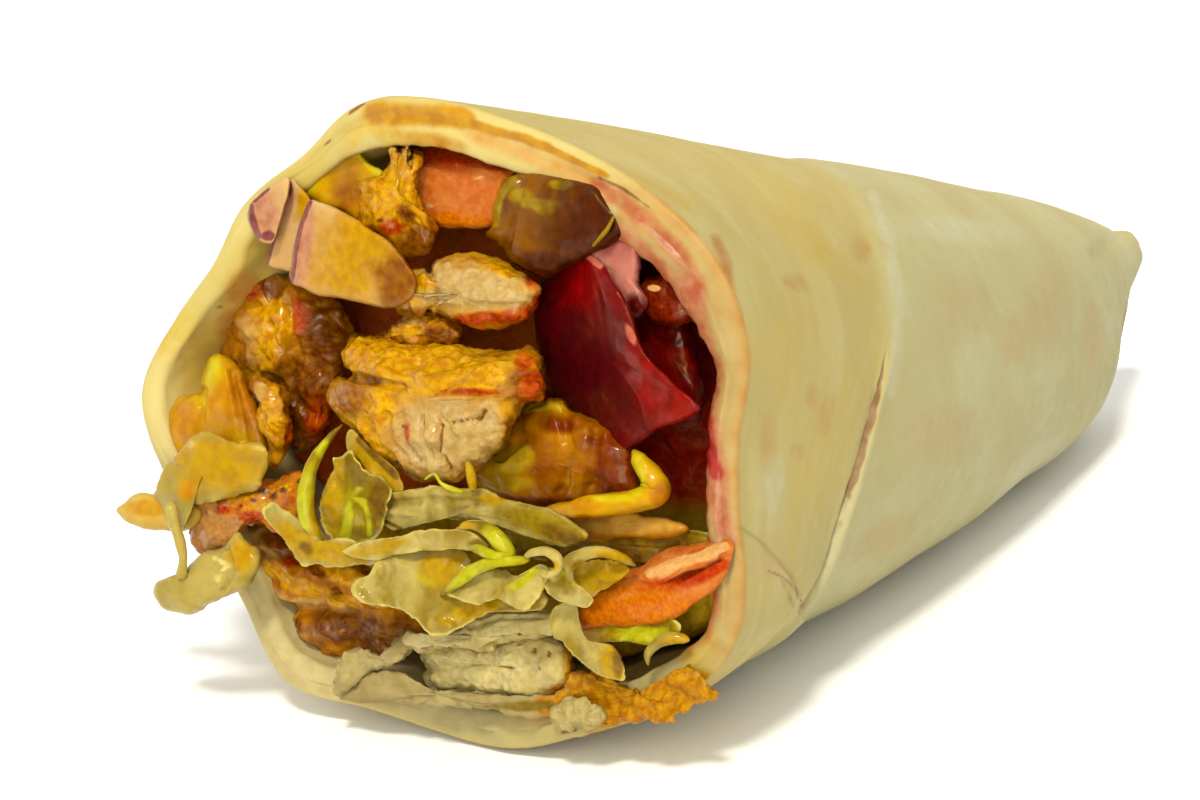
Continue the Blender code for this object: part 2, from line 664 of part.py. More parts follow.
def main():
    global parts, cutters
    clear_scene()
    parts = new_collection("shawarma_wrap")
    cutters = new_collection("cutters")
    bread = make_bread()
    core = make_core()
    pieces = make_lettuce() + make_vegetables() + make_chicken() + make_torn_bread()
    separate(pieces, bread, core)


main()
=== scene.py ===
"""Looks of the shawarma wrap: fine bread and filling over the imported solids.

Shapes are made in the wrap's own frame, in millimetres: the mouth is the plane y = 0, the pinched
tip is at y = LENGTH, and an angle round the roll starts at +X and turns towards +Z. lying() then puts
them on the table, in metres. A piece of the filling is drawn as its outline in the photograph's
1200 x 800 frame, at a depth in the wrap, so it stands where its solid does. The marks painted on it
are ellipses and lines in the same frame.
"""

import math

import bpy
import numpy as np
from mathutils import Matrix, Vector, noise


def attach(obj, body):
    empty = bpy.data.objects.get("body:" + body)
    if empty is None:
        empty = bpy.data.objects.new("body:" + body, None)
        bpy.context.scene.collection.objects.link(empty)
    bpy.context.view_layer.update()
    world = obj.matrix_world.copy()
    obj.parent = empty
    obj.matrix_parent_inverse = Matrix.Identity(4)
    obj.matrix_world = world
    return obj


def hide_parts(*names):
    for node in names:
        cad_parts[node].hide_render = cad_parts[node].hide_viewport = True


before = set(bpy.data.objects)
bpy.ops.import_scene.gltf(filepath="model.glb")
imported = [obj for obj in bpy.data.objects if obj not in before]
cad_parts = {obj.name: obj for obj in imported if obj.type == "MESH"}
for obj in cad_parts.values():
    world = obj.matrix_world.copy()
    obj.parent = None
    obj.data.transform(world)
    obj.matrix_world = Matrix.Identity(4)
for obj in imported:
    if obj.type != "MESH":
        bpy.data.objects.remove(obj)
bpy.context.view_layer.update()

MM = 0.001

# The roll, as in its solid: section at shares of the length as centre x, half width, top, bottom
LENGTH = 156.0
SECTIONS = (
    (0.000, 2.0, 42.0, 72.0, -1.5),
    (0.141, 3.0, 39.5, 68.5, 0.0),
    (0.321, 5.0, 35.0, 64.0, 3.5),
    (0.513, 7.0, 28.5, 60.0, 8.5),
    (0.673, 8.5, 21.5, 56.5, 13.0),
    (0.801, 9.5, 15.8, 53.5, 17.0),
    (0.897, 10.5, 10.0, 50.2, 21.6),
    (0.962, 11.0, 5.8, 47.4, 27.4),
    (1.000, 11.5, 2.8, 45.5, 35.2),
)
SQUARENESS = 2.25
MOUTH_LOBES = (
    -0.4, 1.1, 1.3, -0.7, -2.0, -1.6, -0.3, -0.9, -4.2, -4.8, -5.6, -2.0,
    1.4, -1.4, -4.6, -3.2, 0.8, -0.4, 0.6, 1.6, 1.6, 3.6, 5.0, 1.4,
)
LOBE_DEPTH = 38.0
RIM_WAVE = 0.9
WALL = 3.4
BASE_WALL = 4.6
CAVITY_END = 136.0
SEAM_LOW = 24.5
SEAM_LOW_ANGLE = -40.0
SEAM_BEND = 0.13
SEAM_CLIMB = 96.0
SEAM_HIGH_ANGLE = 180.0
SEAM_STEP = 0.5
SEAM_DIP = 0.6
SEAM_FADE = 42.0
DIP_FADE = 20.0
LIE_ANGLE = math.radians(8.9)
BASE_CENTRE = Vector((1.15, 75.787, 8.753))

# The photograph's camera, in the wrap's frame
TARGET = Vector((13.5, 18.0, 36.0))
AZIMUTH = math.radians(35.0)
ELEVATION = math.radians(7.0)
DISTANCE = 430.0
LENS = 111.0
SENSOR = 36.0
IMAGE_WIDTH = 1200.0
IMAGE_HEIGHT = 800.0

BACK = Vector((
    math.sin(AZIMUTH) * math.cos(ELEVATION),
    -math.cos(AZIMUTH) * math.cos(ELEVATION),
    math.sin(ELEVATION),
))
RIGHT = (-BACK).cross(Vector((0, 0, 1))).normalized()
UP = RIGHT.cross(-BACK)
EYE = TARGET + BACK * DISTANCE
TIP_OVER = Matrix.Rotation(-LIE_ANGLE, 3, "X")


def lying(point):
    """From the wrap's frame in millimetres to its place on the table in metres."""
    return (TIP_OVER @ (point - BASE_CENTRE)) * MM


def ray_through(px, py):
    focal = LENS / SENSOR * IMAGE_WIDTH
    right = (px - IMAGE_WIDTH / 2) / focal
    up = (IMAGE_HEIGHT / 2 - py) / focal
    return (RIGHT * right + UP * up - BACK).normalized()


def at_pixel(px, py, depth):
    """The point that a pixel shows, at a depth in the wrap."""
    ray = ray_through(px, py)
    return EYE + ray * ((depth - EYE.y) / ray.y)


# Camera, floor and light

LIT_PLACE = Vector((0, -0.03, 0.035))
FLOOR_SIDE = 3.0
FLOOR_DROP = 0.0002


def make_camera():
    data = bpy.data.cameras.new("photo_camera")
    data.lens = LENS
    data.sensor_width = SENSOR
    data.clip_start = 0.01
    camera = bpy.data.objects.new("photo_camera", data)
    bpy.context.scene.collection.objects.link(camera)
    turn = Matrix((TIP_OVER @ RIGHT, TIP_OVER @ UP, TIP_OVER @ BACK)).transposed()
    camera.matrix_world = Matrix.Translation(lying(EYE)) @ turn.to_4x4()
    bpy.context.scene.camera = camera


def add_light(name, kind, place, energy, colour):
    """A lamp that looks at the mouth from a place in metres."""
    data = bpy.data.lights.new(name, kind)
    data.energy = energy
    data.color = colour
    light = bpy.data.objects.new(name, data)
    bpy.context.scene.collection.objects.link(light)
    light.location = place
    light.rotation_mode = "QUATERNION"
    light.rotation_quaternion = (LIT_PLACE - Vector(place)).to_track_quat("-Z", "Y")
    return data


def make_studio():
    scene = bpy.context.scene
    scene.view_settings.view_transform = "Standard"
    world = bpy.data.worlds.new("studio")
    world.use_nodes = True
    background = world.node_tree.nodes["Background"]
    background.inputs["Color"].default_value = (1.0, 0.98, 0.93, 1.0)
    background.inputs["Strength"].default_value = 0.78
    scene.world = world
    key = add_light("key", "SUN", (0.30, -0.58, 0.78), 2.7, (0.97, 0.96, 0.86))
    key.angle = math.radians(9.0)
    fill = add_light("fill", "AREA", (0.30, -0.62, 0.16), 2.6, (0.93, 0.93, 0.84))
    fill.shape = "DISK"
    fill.size = 0.5
    mesh = bpy.data.meshes.new("floor")
    side = FLOOR_SIDE
    corners = [(-side, -side, 0), (side, -side, 0), (side, side, 0), (-side, side, 0)]
    mesh.from_pydata(corners, [], [(0, 1, 2, 3)])
    floor = bpy.data.objects.new("floor", mesh)
    scene.collection.objects.link(floor)
    floor.location.z = -FLOOR_DROP
    material = bpy.data.materials.new("floor_white")
    material.use_nodes = True
    tree = material.node_tree
    shader = tree.nodes["Principled BSDF"]
    shader.inputs["Roughness"].default_value = 0.9
    grain = tree.nodes.new("ShaderNodeTexNoise")
    grain.inputs["Scale"].default_value = 40.0
    tint = tree.nodes.new("ShaderNodeMix")
    tint.data_type = "RGBA"
    tint.inputs["A"].default_value = (0.95, 0.95, 0.955, 1)
    tint.inputs["B"].default_value = (0.97, 0.97, 0.975, 1)
    tree.links.new(grain.outputs["Fac"], tint.inputs["Factor"])
    tree.links.new(tint.outputs["Result"], shader.inputs["Base Color"])
    mesh.materials.append(material)


# Curves and noise


def smoothstep(low, high, value):
    share = min(max((value - low) / (high - low), 0.0), 1.0)
    return share * share * (3.0 - 2.0 * share)


def signed(angle):
    return (angle + 180.0) % 360.0 - 180.0


def within(low, high, soft, value):
    return smoothstep(low - soft, low + soft, value) * (1.0 - smoothstep(high - soft, high + soft, value))


def cubic(before, start, end, after, share):
    """Catmull-Rom curve through start and end."""
    pull_in = (end - before) / 2.0
    pull_out = (after - start) / 2.0
    square = share * share
    cube = square * share
    return (
        (2 * cube - 3 * square + 1) * start
        + (cube - 2 * square + share) * pull_in
        + (3 * square - 2 * cube) * end
        + (cube - square) * pull_out
    )


def curve_point(points, share):
    """A point on the smooth curve through a list of vectors, share from 0 to 1."""
    spans = len(points) - 1
    span = min(int(share * spans), spans - 1)
    before = points[span - 1] if span else points[0] * 2 - points[1]
    after = points[span + 2] if span + 2 <= spans else points[spans] * 2 - points[spans - 1]
    return cubic(before, points[span], points[span + 1], after, share * spans - span)


def closed_curve(points, count):
    """Evenly spaced points on the smooth closed curve through a list of vectors."""
    total = len(points)
    fine = []
    steps = 12
    for k in range(total):
        around = [points[(k + j) % total] for j in (-1, 0, 1, 2)]
        fine.extend(cubic(*around, s / steps) for s in range(steps))
    lengths = [0.0]
    for k in range(len(fine)):
        lengths.append(lengths[-1] + (fine[(k + 1) % len(fine)] - fine[k]).length)
    result = []
    at = 0
    for k in range(count):
        goal = lengths[-1] * k / count
        while lengths[at + 1] < goal:
            at += 1
        share = (goal - lengths[at]) / max(lengths[at + 1] - lengths[at], 1e-9)
        result.append(fine[at].lerp(fine[(at + 1) % len(fine)], share))
    return result


def rough(point, size, seed, octaves=3):
    """Layered noise between about -1 and 1 whose largest lumps are size across."""
    total = 0.0
    strength = 1.0
    spot = point / size + Vector((seed * 7.3, -seed * 3.7, seed * 5.1))
    for _ in range(octaves):
        total += strength * noise.noise(spot)
        spot = spot * 2.1
        strength *= 0.5
    return total


# The roll's surfaces, as in its solid


def section_at(y):
    share = min(max(y / LENGTH, 0.0), 1.0)
    last = len(SECTIONS) - 2
    at = max(k for k in range(last + 1) if SECTIONS[k][0] <= share)
    start = SECTIONS[at]
    end = SECTIONS[at + 1]
    run = end[0] - start[0]
    low = SECTIONS[max(at - 1, 0)]
    high = SECTIONS[min(at + 2, last + 1)]
    t = (share - start[0]) / run
    values = []
    for k in range(1, 5):
        slope_in = (end[k] - low[k]) / (end[0] - low[0]) * run
        slope_out = (high[k] - start[k]) / (high[0] - start[0]) * run
        values.append(
            (2 * t**3 - 3 * t**2 + 1) * start[k]
            + (t**3 - 2 * t**2 + t) * slope_in
            + (3 * t**2 - 2 * t**3) * end[k]
            + (t**3 - t**2) * slope_out
        )
    return values


def middle_at(y, past=0.0):
    """The middle of the section at a depth, moved on past it."""
    centre_x, _, top, bottom = section_at(y)
    return Vector((centre_x, y + past, (top + bottom) / 2.0))


def mouth_lobe(angle):
    step = 360.0 / len(MOUTH_LOBES)
    place = (angle % 360.0) / step
    first = int(place) % len(MOUTH_LOBES)
    around = [MOUTH_LOBES[(first + k) % len(MOUTH_LOBES)] for k in (-1, 0, 1, 2)]
    return cubic(*around, place - int(place))


def seam_y(angle):
    turn = (angle - SEAM_LOW_ANGLE) % 360.0
    climb = SEAM_HIGH_ANGLE - SEAM_LOW_ANGLE
    share = min(turn / climb, 1.0)
    rise = SEAM_CLIMB * (share - SEAM_BEND * (1.0 - math.exp(-share / SEAM_BEND)))
    return SEAM_LOW + rise * (1.0 - smoothstep(climb, 360.0, turn))


def seam_strength(angle):
    turn = (angle - SEAM_LOW_ANGLE + 20.0) % 360.0
    climb = SEAM_HIGH_ANGLE - SEAM_LOW_ANGLE + 20.0
    return smoothstep(0.0, 20.0, turn) * (1.0 - smoothstep(climb - 25.0, climb, turn))


def outer_point(y, angle, inset=0.0):
    centre_x, half_width, top, bottom = section_at(y)
    radians = math.radians(angle)
    across = math.cos(radians)
    up = math.sin(radians)
    unit = (abs(across) ** SQUARENESS + abs(up) ** SQUARENESS) ** (-1.0 / SQUARENESS)
    lobe = mouth_lobe(angle) * (1.0 - smoothstep(0.0, LOBE_DEPTH, y))
    past_seam = y - seam_y(angle)
    after = SEAM_STEP * (1.0 - smoothstep(0.0, SEAM_FADE, past_seam))
    before = -SEAM_DIP * (1.0 - smoothstep(0.0, DIP_FADE, -past_seam))
    sharp = within(-42.0, 12.0, 10.0, signed(angle))
    blur = 3.4 - 3.2 * sharp
    step = (before + (after - before) * smoothstep(-blur, blur, past_seam)) * (0.45 + 0.4 * sharp)
    grow = lobe + step * seam_strength(angle) - inset
    half_height = (top - bottom) / 2.0
    return Vector((
        centre_x + half_width * unit * across + grow * across,
        y,
        (top + bottom) / 2.0 + half_height * unit * up + grow * up,
    ))


def wall_at(angle):
    below = max(-math.sin(math.radians(angle)), 0.0)
    return WALL + (BASE_WALL - WALL) * below


def inner_point(y, angle, inset=0.0):
    closing = smoothstep(CAVITY_END - 34.0, CAVITY_END + 6.0, y)
    wall = wall_at(angle) * (1.0 + 0.5 * closing) + inset
    return outer_point(y, angle, min(wall, 0.7 * section_at(y)[1]))


def rim_shift(angle):
    radians = math.radians(angle)
    return RIM_WAVE * (math.sin(3.0 * radians + 0.6) + 0.6 * math.sin(7.0 * radians))


# Materials


# Share of the light that a surface sends back when it looks like its colour in this light
BREAD_ALBEDO = (0.72, 0.72, 0.68)
FILLING_ALBEDO = (0.60, 0.57, 0.34)
SPECULAR_TINT = (1.0, 0.72, 0.25, 1.0)


def srgb(red, green, blue, albedo=BREAD_ALBEDO):
    """A colour given as it looks on screen, 0 to 255."""
    def linear(value):
        value /= 255.0
        return value / 12.92 if value <= 0.04045 else ((value + 0.055) / 1.055) ** 2.4
    return (albedo[0] * linear(red), albedo[1] * linear(green), albedo[2] * linear(blue), 1.0)


class Shade:
    """Builds one material's nodes."""

    def __init__(self, name):
        self.material = bpy.data.materials.new(name)
        self.material.use_nodes = True
        self.tree = self.material.node_tree
        self.shader = self.tree.nodes["Principled BSDF"]
        spot = self.tree.nodes.new("ShaderNodeTexCoord")
        self.spot = spot.outputs["Object"]

    def link(self, out, into):
        self.tree.links.new(out, into)

    def fill(self, slot, value):
        """Sets a slot to a constant, or links another node's output to it."""
        if isinstance(value, (int, float, tuple)):
            slot.default_value = value
        else:
            self.link(value, slot)

    def scaled(self, size, stretch=(1, 1, 1), where=None, turn=(0, 0, 0)):
        """Where to read a texture so that its lumps are about a size in millimetres."""
        move = self.tree.nodes.new("ShaderNodeMapping")
        move.inputs["Rotation"].default_value = turn
        move.inputs["Scale"].default_value = [1.0 / MM / size / s for s in stretch]
        self.link(where or self.spot, move.inputs["Vector"])
        return move.outputs["Vector"]

    def noise(self, size, detail=3.0, stretch=(1, 1, 1), distortion=0.0, where=None, turn=(0, 0, 0)):
        """Noise with lumps of about a size in millimetres."""
        node = self.tree.nodes.new("ShaderNodeTexNoise")
        node.inputs["Scale"].default_value = 1.0
        node.inputs["Detail"].default_value = detail
        node.inputs["Distortion"].default_value = distortion
        self.link(self.scaled(size, stretch, where, turn), node.inputs["Vector"])
        return node.outputs["Fac"]

    def cells(self, size):
        node = self.tree.nodes.new("ShaderNodeTexVoronoi")
        node.inputs["Scale"].default_value = 1.0
        self.link(self.scaled(size), node.inputs["Vector"])
        return node.outputs["Distance"]

    def step(self, value, low, high, to_low=0.0, to_high=1.0):
        node = self.tree.nodes.new("ShaderNodeMapRange")
        node.interpolation_type = "SMOOTHSTEP"
        names = ("From Min", "From Max", "To Min", "To Max")
        for name, number in zip(names, (low, high, to_low, to_high)):
            node.inputs[name].default_value = number
        self.link(value, node.inputs["Value"])
        return node.outputs["Result"]

    def math(self, kind, first, second):
        node = self.tree.nodes.new("ShaderNodeMath")
        node.operation = kind
        self.fill(node.inputs[0], first)
        self.fill(node.inputs[1], second)
        return node.outputs["Value"]

    def mask(self, name):
        node = self.tree.nodes.new("ShaderNodeAttribute")
        node.attribute_name = name
        return node.outputs["Fac"]

    def mix(self, share, first, second, blend="MIX", kind="RGBA"):
        node = self.tree.nodes.new("ShaderNodeMix")
        node.data_type = kind
        node.blend_type = blend
        self.link(share, node.inputs["Factor"])
        self.fill(node.inputs["A"], first)
        self.fill(node.inputs["B"], second)
        return node.outputs["Result"]

    def uneven(self, mask, fray, edge, from_value, to_value):
        """How much of a painted mask shows, with an uneven edge."""
        share = self.step(self.math("ADD", self.mask(mask), fray), 0.5 - edge, 0.5 + edge)
        return self.math("MULTIPLY", share, self.step(self.mask(mask), from_value, to_value))

    def bump(self, height, depth_mm, before=None):
        node = self.tree.nodes.new("ShaderNodeBump")
        node.inputs["Strength"].default_value = 1.0
        node.inputs["Distance"].default_value = depth_mm * MM
        self.link(height, node.inputs["Height"])
        if before:
            self.link(before, node.inputs["Normal"])
        return node.outputs["Normal"]

    def soft(self, weight, reach_mm, radius=(1.0, 0.7, 0.35)):
        self.shader.inputs["Subsurface Weight"].default_value = weight
        self.shader.inputs["Subsurface Scale"].default_value = reach_mm * MM
        self.shader.inputs["Subsurface Radius"].default_value = radius


def food(name, dark, light, size=2.5, rough=0.4, masks=(), grain=0.5, grain_depth=0.06,
         lump=2.0, lump_depth=0.12, soften=0.25, reach=1.2, stretch=(1, 1, 1), wet=0.0, turn=(0, 0, 0)):
    """A moist food: two colours mottled together, painted masks with uneven edges, and grain.

    Each mask is (attribute, colour, second colour, edge, roughness)."""
    shade = Shade(name)
    mottle = shade.noise(size, 5.0, stretch, 0.4, turn=turn)
    ends = (srgb(*dark, FILLING_ALBEDO), srgb(*light, FILLING_ALBEDO))
    colour = shade.mix(shade.step(mottle, 0.3, 0.7), *ends)
    fine = shade.noise(size * 0.3, 4.0)
    fray = shade.math("MULTIPLY", shade.math("SUBTRACT", shade.noise(1.6, 5.0), 0.5), 0.8)
    glossy = shade.step(shade.noise(3.0, 2.0), 0.35, 0.7, rough * 0.75, min(rough * 1.3, 1.0))
    for attribute, first, second, edge, mask_rough in masks:
        share = shade.uneven(attribute, fray, edge, 0.0, 0.4)
        ends = (srgb(*first, FILLING_ALBEDO), srgb(*second, FILLING_ALBEDO))
        colour = shade.mix(share, colour, shade.mix(shade.step(fine, 0.3, 0.7), *ends))
        glossy = shade.mix(share, glossy, mask_rough, kind="FLOAT")
    shade.link(colour, shade.shader.inputs["Base Color"])
    shade.link(glossy, shade.shader.inputs["Roughness"])
    bump = shade.bump(shade.noise(lump, 4.0, stretch, turn=turn), lump_depth)
    bump = shade.bump(shade.noise(grain, 3.0, stretch, turn=turn), grain_depth, bump)
    shade.link(bump, shade.shader.inputs["Normal"])
    shade.shader.inputs["IOR"].default_value = 1.28
    shade.shader.inputs["Specular Tint"].default_value = SPECULAR_TINT
    if wet:
        patches = shade.step(shade.noise(2.6, 3.0), 0.46, 0.60, 0.0, wet)
        shade.link(patches, shade.shader.inputs["Coat Weight"])
        shade.shader.inputs["Coat Roughness"].default_value = 0.07
        shade.shader.inputs["Coat IOR"].default_value = 1.4
    shade.soft(soften, reach)
    return shade.material


# Meshes


def finish_piece(name, points, faces, masks, material, node):
    """A mesh in the wrap's frame becomes a piece of the model."""
    mesh = bpy.data.meshes.new(name)
    mesh.from_pydata([lying(point) for point in points], [], faces)
    mesh.polygons.foreach_set("use_smooth", [True] * len(mesh.polygons))
    for mask, values in masks.items():
        layer = mesh.attributes.new(mask, "FLOAT", "POINT")
        layer.data.foreach_set("value", values)
    mesh.materials.append(material)
    mesh.update()
    piece = bpy.data.objects.new(name, mesh)
    bpy.context.scene.collection.objects.link(piece)
    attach(piece, "root")
    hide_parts(node)


def skin(rows, first_end, last_end):
    """Points and faces of a closed skin through rings, with a fan to a point at each end."""
    count = len(rows[0])
    points = [point for row in rows for point in row]
    faces = []
    for row in range(len(rows) - 1):
        for k in range(count):
            after = (k + 1) % count
            here, there = row * count, (row + 1) * count
            faces.append((here + k, here + after, there + after, there + k))
    first, last = len(points), len(points) + 1
    points += [first_end, last_end]
    end = (len(rows) - 1) * count
    for k in range(count):
        after = (k + 1) % count
        faces.append((after, k, first))
        faces.append((end + k, end + after, last))
    return points, faces


def turned_outward(points, faces):
    """The faces, all turned over if they look inward."""
    volume = 0.0
    for face in faces:
        a, b, c = (points[k] for k in face[:3])
        volume += a.dot(b.cross(c))
        if len(face) == 4:
            volume += a.dot(c.cross(points[face[3]]))
    return faces if volume > 0.0 else [tuple(reversed(face)) for face in faces]


def normals_of(points, faces):
    place = np.array([tuple(p) for p in points])
    corners = np.array([face if len(face) == 4 else (*face, face[2]) for face in faces])
    across = place[corners[:, 2]] - place[corners[:, 0]]
    along = place[corners[:, 3]] - place[corners[:, 1]]
    flat = np.cross(across, along)
    triangles = corners[:, 2] == corners[:, 3]
    side = place[corners[:, 1]] - place[corners[:, 0]]
    flat[triangles] = np.cross(side, across)[triangles]
    total = np.zeros_like(place)
    for k in range(4):
        np.add.at(total, corners[:, k], flat)
    length = np.linalg.norm(total, axis=1, keepdims=True)
    return total / np.maximum(length, 1e-12)


def kept_in(point):
    """A point of the filling, drawn back into the bread's wall if it would come out through it."""
    centre_x, half_width, top, bottom = section_at(point.y)
    centre = Vector((centre_x, point.y, (top + bottom) / 2.0))
    off = point - centre
    across, up = off.x / half_width, off.z / ((top - bottom) / 2.0)
    if point.y < -1.0 or across * across + up * up < 0.5:
        return point
    angle = math.degrees(math.atan2(up, across))
    limit = (outer_point(point.y, angle, 0.6 * wall_at(angle)) - centre).length
    excess = max(off.length / limit - 1.0, 0.0) * smoothstep(-1.0, 2.0, point.y)
    return centre + off / (1.0 + excess)


# Masks painted on a piece, from where a point is seen in the photograph's frame

PIXELS_PER_MM = 8.0
# Shares of the way from the middle to the edge between which the edge band fades in; leaves paint a
# highlight in this band
SLAB_EDGE = (0.90, 0.99)
STRIP_EDGE = (0.8, 0.98)


def numbers(text):
    """Groups of numbers, written as x,y x,y and so on."""
    return [tuple(float(number) for number in group.split(",")) for group in text.split()]


def spot(px, py, wide, high, turn=0.0, soft=0.7):
    """A soft ellipse."""
    lean = math.radians(turn)

    def value(x, y):
        dx, dy = x - px, y - py
        u = (dx * math.cos(lean) + dy * math.sin(lean)) / wide
        v = (-dx * math.sin(lean) + dy * math.cos(lean)) / high
        return 1.0 - smoothstep(1.0 - soft, 1.0 + soft, math.hypot(u, v))
    return value


def line(points, width, soft=0.7):
    """A soft line through pixels."""

    def value(x, y):
        best = 1e9
        for (x1, y1), (x2, y2) in zip(points, points[1:]):
            dx, dy = x2 - x1, y2 - y1
            share = min(max(((x - x1) * dx + (y - y1) * dy) / (dx * dx + dy * dy), 0.0), 1.0)
            best = min(best, math.hypot(x - x1 - share * dx, y - y1 - share * dy))
        return 1.0 - smoothstep(width * (1.0 - soft), width * (1.0 + soft), best)
    return value


def weighted_shapes(text):
    """Shapes with their weights, one a word.

    x,y,wide,high,turn is an ellipse, x,y>x,y*width is a line, and @ gives a weight other than 1.
    """
    result = []
    for word in text.split():
        drawn, _, weight = word.partition("@")
        path, _, width = drawn.partition("*")
        points = numbers(path.replace(">", " "))
        shape = line(points, float(width)) if width else spot(*points[0])
        result.append((float(weight or 1), shape))
    return result


def marks(text):
    """Weighted shapes by mask, written as a mask's name, its shapes and a semicolon between masks."""
    masks = [part.split(None, 1) for part in text.split(";") if part]
    return {name: weighted_shapes(words) for name, words in masks}


def strongest(shapes, x, y):
    return max(weight * shape(x, y) for weight, shape in shapes)


def painted_masks(paint, pixels, reaches, band):
    """Values of a piece's painted masks at its points, and of the band along its edge."""
    masks = {"edge": [smoothstep(band[0], band[1], reach) for reach in reaches]}
    for mask, shapes in marks(paint).items():
        masks[mask] = [strongest(shapes, x, y) for x, y in pixels]
    return masks


def slab(name, material, slot, outline, depth, half=6.0, boxy=3.0, tilt=(0.0, 0.0), creases=(),
         crag=0.5, crag_size=5.0, ripple=0.0, ripple_size=8.0, ragged=0.3, paint="", carve="",
         seed=1, around=110, rows=18, taper=0.12, grow=1.6, node=None):
    """A lump with an outline drawn in the photograph's frame, its front at a depth.

    half is half its thickness, and boxy goes from 2 for a ball to 6 for a block. tilt leans its
    front by depth per millimetre to the right and up. Each crease is a line of two pixels and how
    much deeper the front gets per pixel on its right-hand side. paint has marks, and carve has shapes
    whose weights are depths.
    """
    outline = numbers(outline)
    centre_px = sum(p[0] for p in outline) / len(outline)
    centre_py = sum(p[1] for p in outline) / len(outline)
    ring = closed_curve([Vector((p[0], p[1], 0.0)) for p in outline], around)
    middle = Vector((centre_px, centre_py, 0.0))
    for k, point in enumerate(ring):
        fray = 0.8 * rough(point, 22.0, seed, 2) + 0.7 * rough(point, 8.0, seed + 3, 3)
        fray = grow + ragged * 6.0 * fray
        ring[k] = point + (point - middle).normalized() * fray
    middle_point = at_pixel(centre_px, centre_py, depth)

    def place(px, py, behind):
        flat = at_pixel(px, py, depth)
        extra = (flat.x - middle_point.x) * tilt[0] + (flat.z - middle_point.z) * tilt[1]
        for x1, y1, x2, y2, fall in creases:
            length = math.hypot(x2 - x1, y2 - y1)
            off = ((px - x1) * (y2 - y1) - (py - y1) * (x2 - x1)) / length
            extra += max(-off, 0.0) * fall
        ray = ray_through(px, py)
        return flat + ray * ((extra / ray.y) + behind)

    rings = []
    pixels = []
    reaches = []
    steps = [math.pi / 2 * (k + 0.6) / (rows + 0.6) for k in range(rows + 1)]
    for angle, front in [(a, True) for a in steps] + [(a, False) for a in reversed(steps[:-1])]:
        reach = math.sin(angle) ** (2.0 / boxy) if angle < math.pi / 2 else 1.0
        fall = half * (1.0 - max(math.cos(angle), 0.0) ** (2.0 / boxy))
        behind = fall if front else 2.0 * half - fall
        shrink = reach * (1.0 - taper * max(behind / half - 1.0, 0.0))
        spots = [(
            centre_px + (point.x - centre_px) * shrink,
            centre_py + (point.y - centre_py) * shrink,
        ) for point in ring]
        rings.append([place(px, py, behind) for px, py in spots])
        pixels += spots
        reaches += [reach if front else 1.0] * around
    front_points = len(steps) * around
    front = place(centre_px, centre_py, 0.0)
    back = place(centre_px, centre_py, 2.0 * half)
    points, faces = skin(rings, front, back)
    pixels += [(centre_px, centre_py)] * 2
    reaches += [0.0, 1.0]
    faces = turned_outward(points, faces)
    normals = normals_of(points, faces)
    hollows = weighted_shapes(carve)
    moved = []
    for k, (point, normal, (px, py), reach) in enumerate(zip(points, normals, pixels, reaches)):
        rise = crag * rough(point, crag_size, seed, 4)
        if k < front_points or k == len(points) - 2:
            for deep, shape in hollows:
                rise -= deep * shape(px, py)
        point = point + Vector(normal) * rise
        if ripple:
            lift = ripple * rough(Vector((px, py, 0.0)) / PIXELS_PER_MM, ripple_size, seed + 9, 2)
            point = point + BACK * lift * (0.35 + reach)
        moved.append(kept_in(point))
    masks = painted_masks(paint, pixels, reaches, SLAB_EDGE)
    finish_piece(name, moved, faces, masks, material, node or name)


def strip(name, material, spine, thick=1.0, crag=0.12, crag_size=3.0, wavy=0.0, ruffle=0.0,
          curl=0.0, paint="", seed=1, rows=90, around=26, node=None):
    """A band along a spine of (pixel x, pixel y, depth, half width in pixels).

    curl bends it across like a gutter and ruffle waves its edges."""
    spine = numbers(spine)
    line_points = [Vector(p[:3]) for p in spine]
    widths = [Vector((p[3], 0.0, 0.0)) for p in spine]
    rings = []
    pixels = []
    reaches = []
    for row in range(rows + 1):
        share = row / rows
        here = curve_point(line_points, share)
        ahead = curve_point(line_points, min(share + 0.01, 1.0))
        ahead -= curve_point(line_points, max(share - 0.01, 0.0))
        heading = Vector((ahead.x, ahead.y, 0.0)).normalized()
        sideways = Vector((heading.y, -heading.x, 0.0))
        close = min(1.0, math.sqrt(max(min(share, 1.0 - share) * 14.0, 0.002)))
        half_width = max(curve_point(widths, share).x, 0.6) * close
        base = at_pixel(here.x, here.y, here.z)
        toward = -ray_through(here.x, here.y)
        across = at_pixel(here.x + sideways.x * half_width, here.y + sideways.y * half_width, here.z) - base
        across -= toward * across.dot(toward)
        reach = across.length
        across.normalize()
        ring = []
        for k in range(around):
            turn = 2.0 * math.pi * k / around
            side = math.cos(turn)
            out = math.sin(turn)
            flat = abs(side) ** 0.8 * (1 if side > 0 else -1)
            bend = curl * reach * (flat * flat)
            wave = ruffle * flat * abs(flat) * rough(Vector((share * 9.0, flat, 0.0)), 1.0, seed + 5, 2)
            wave += wavy * rough(base, 6.0, seed + 2, 2)
            body = thick * 0.5 * abs(out) ** 0.7 * (1 if out > 0 else -1) * close
            ring.append(base + across * reach * flat + toward * (body + wave - bend))
            pixels.append((
                here.x + sideways.x * half_width * flat,
                here.y + sideways.y * half_width * flat,
            ))
            reaches.append(abs(flat))
        rings.append(ring)
    first = sum(rings[0], Vector()) / around
    last = sum(rings[-1], Vector()) / around
    points, faces = skin(rings, first, last)
    pixels += [pixels[0], pixels[-1]]
    reaches += [0.0, 0.0]
    faces = turned_outward(points, faces)
    normals = normals_of(points, faces)
    moved = [kept_in(p + Vector(n) * crag * rough(p, crag_size, seed, 3)) for p, n in zip(points, normals)]
    masks = painted_masks(paint, pixels, reaches, STRIP_EDGE)
    finish_piece(name, moved, faces, masks, material, node or name)


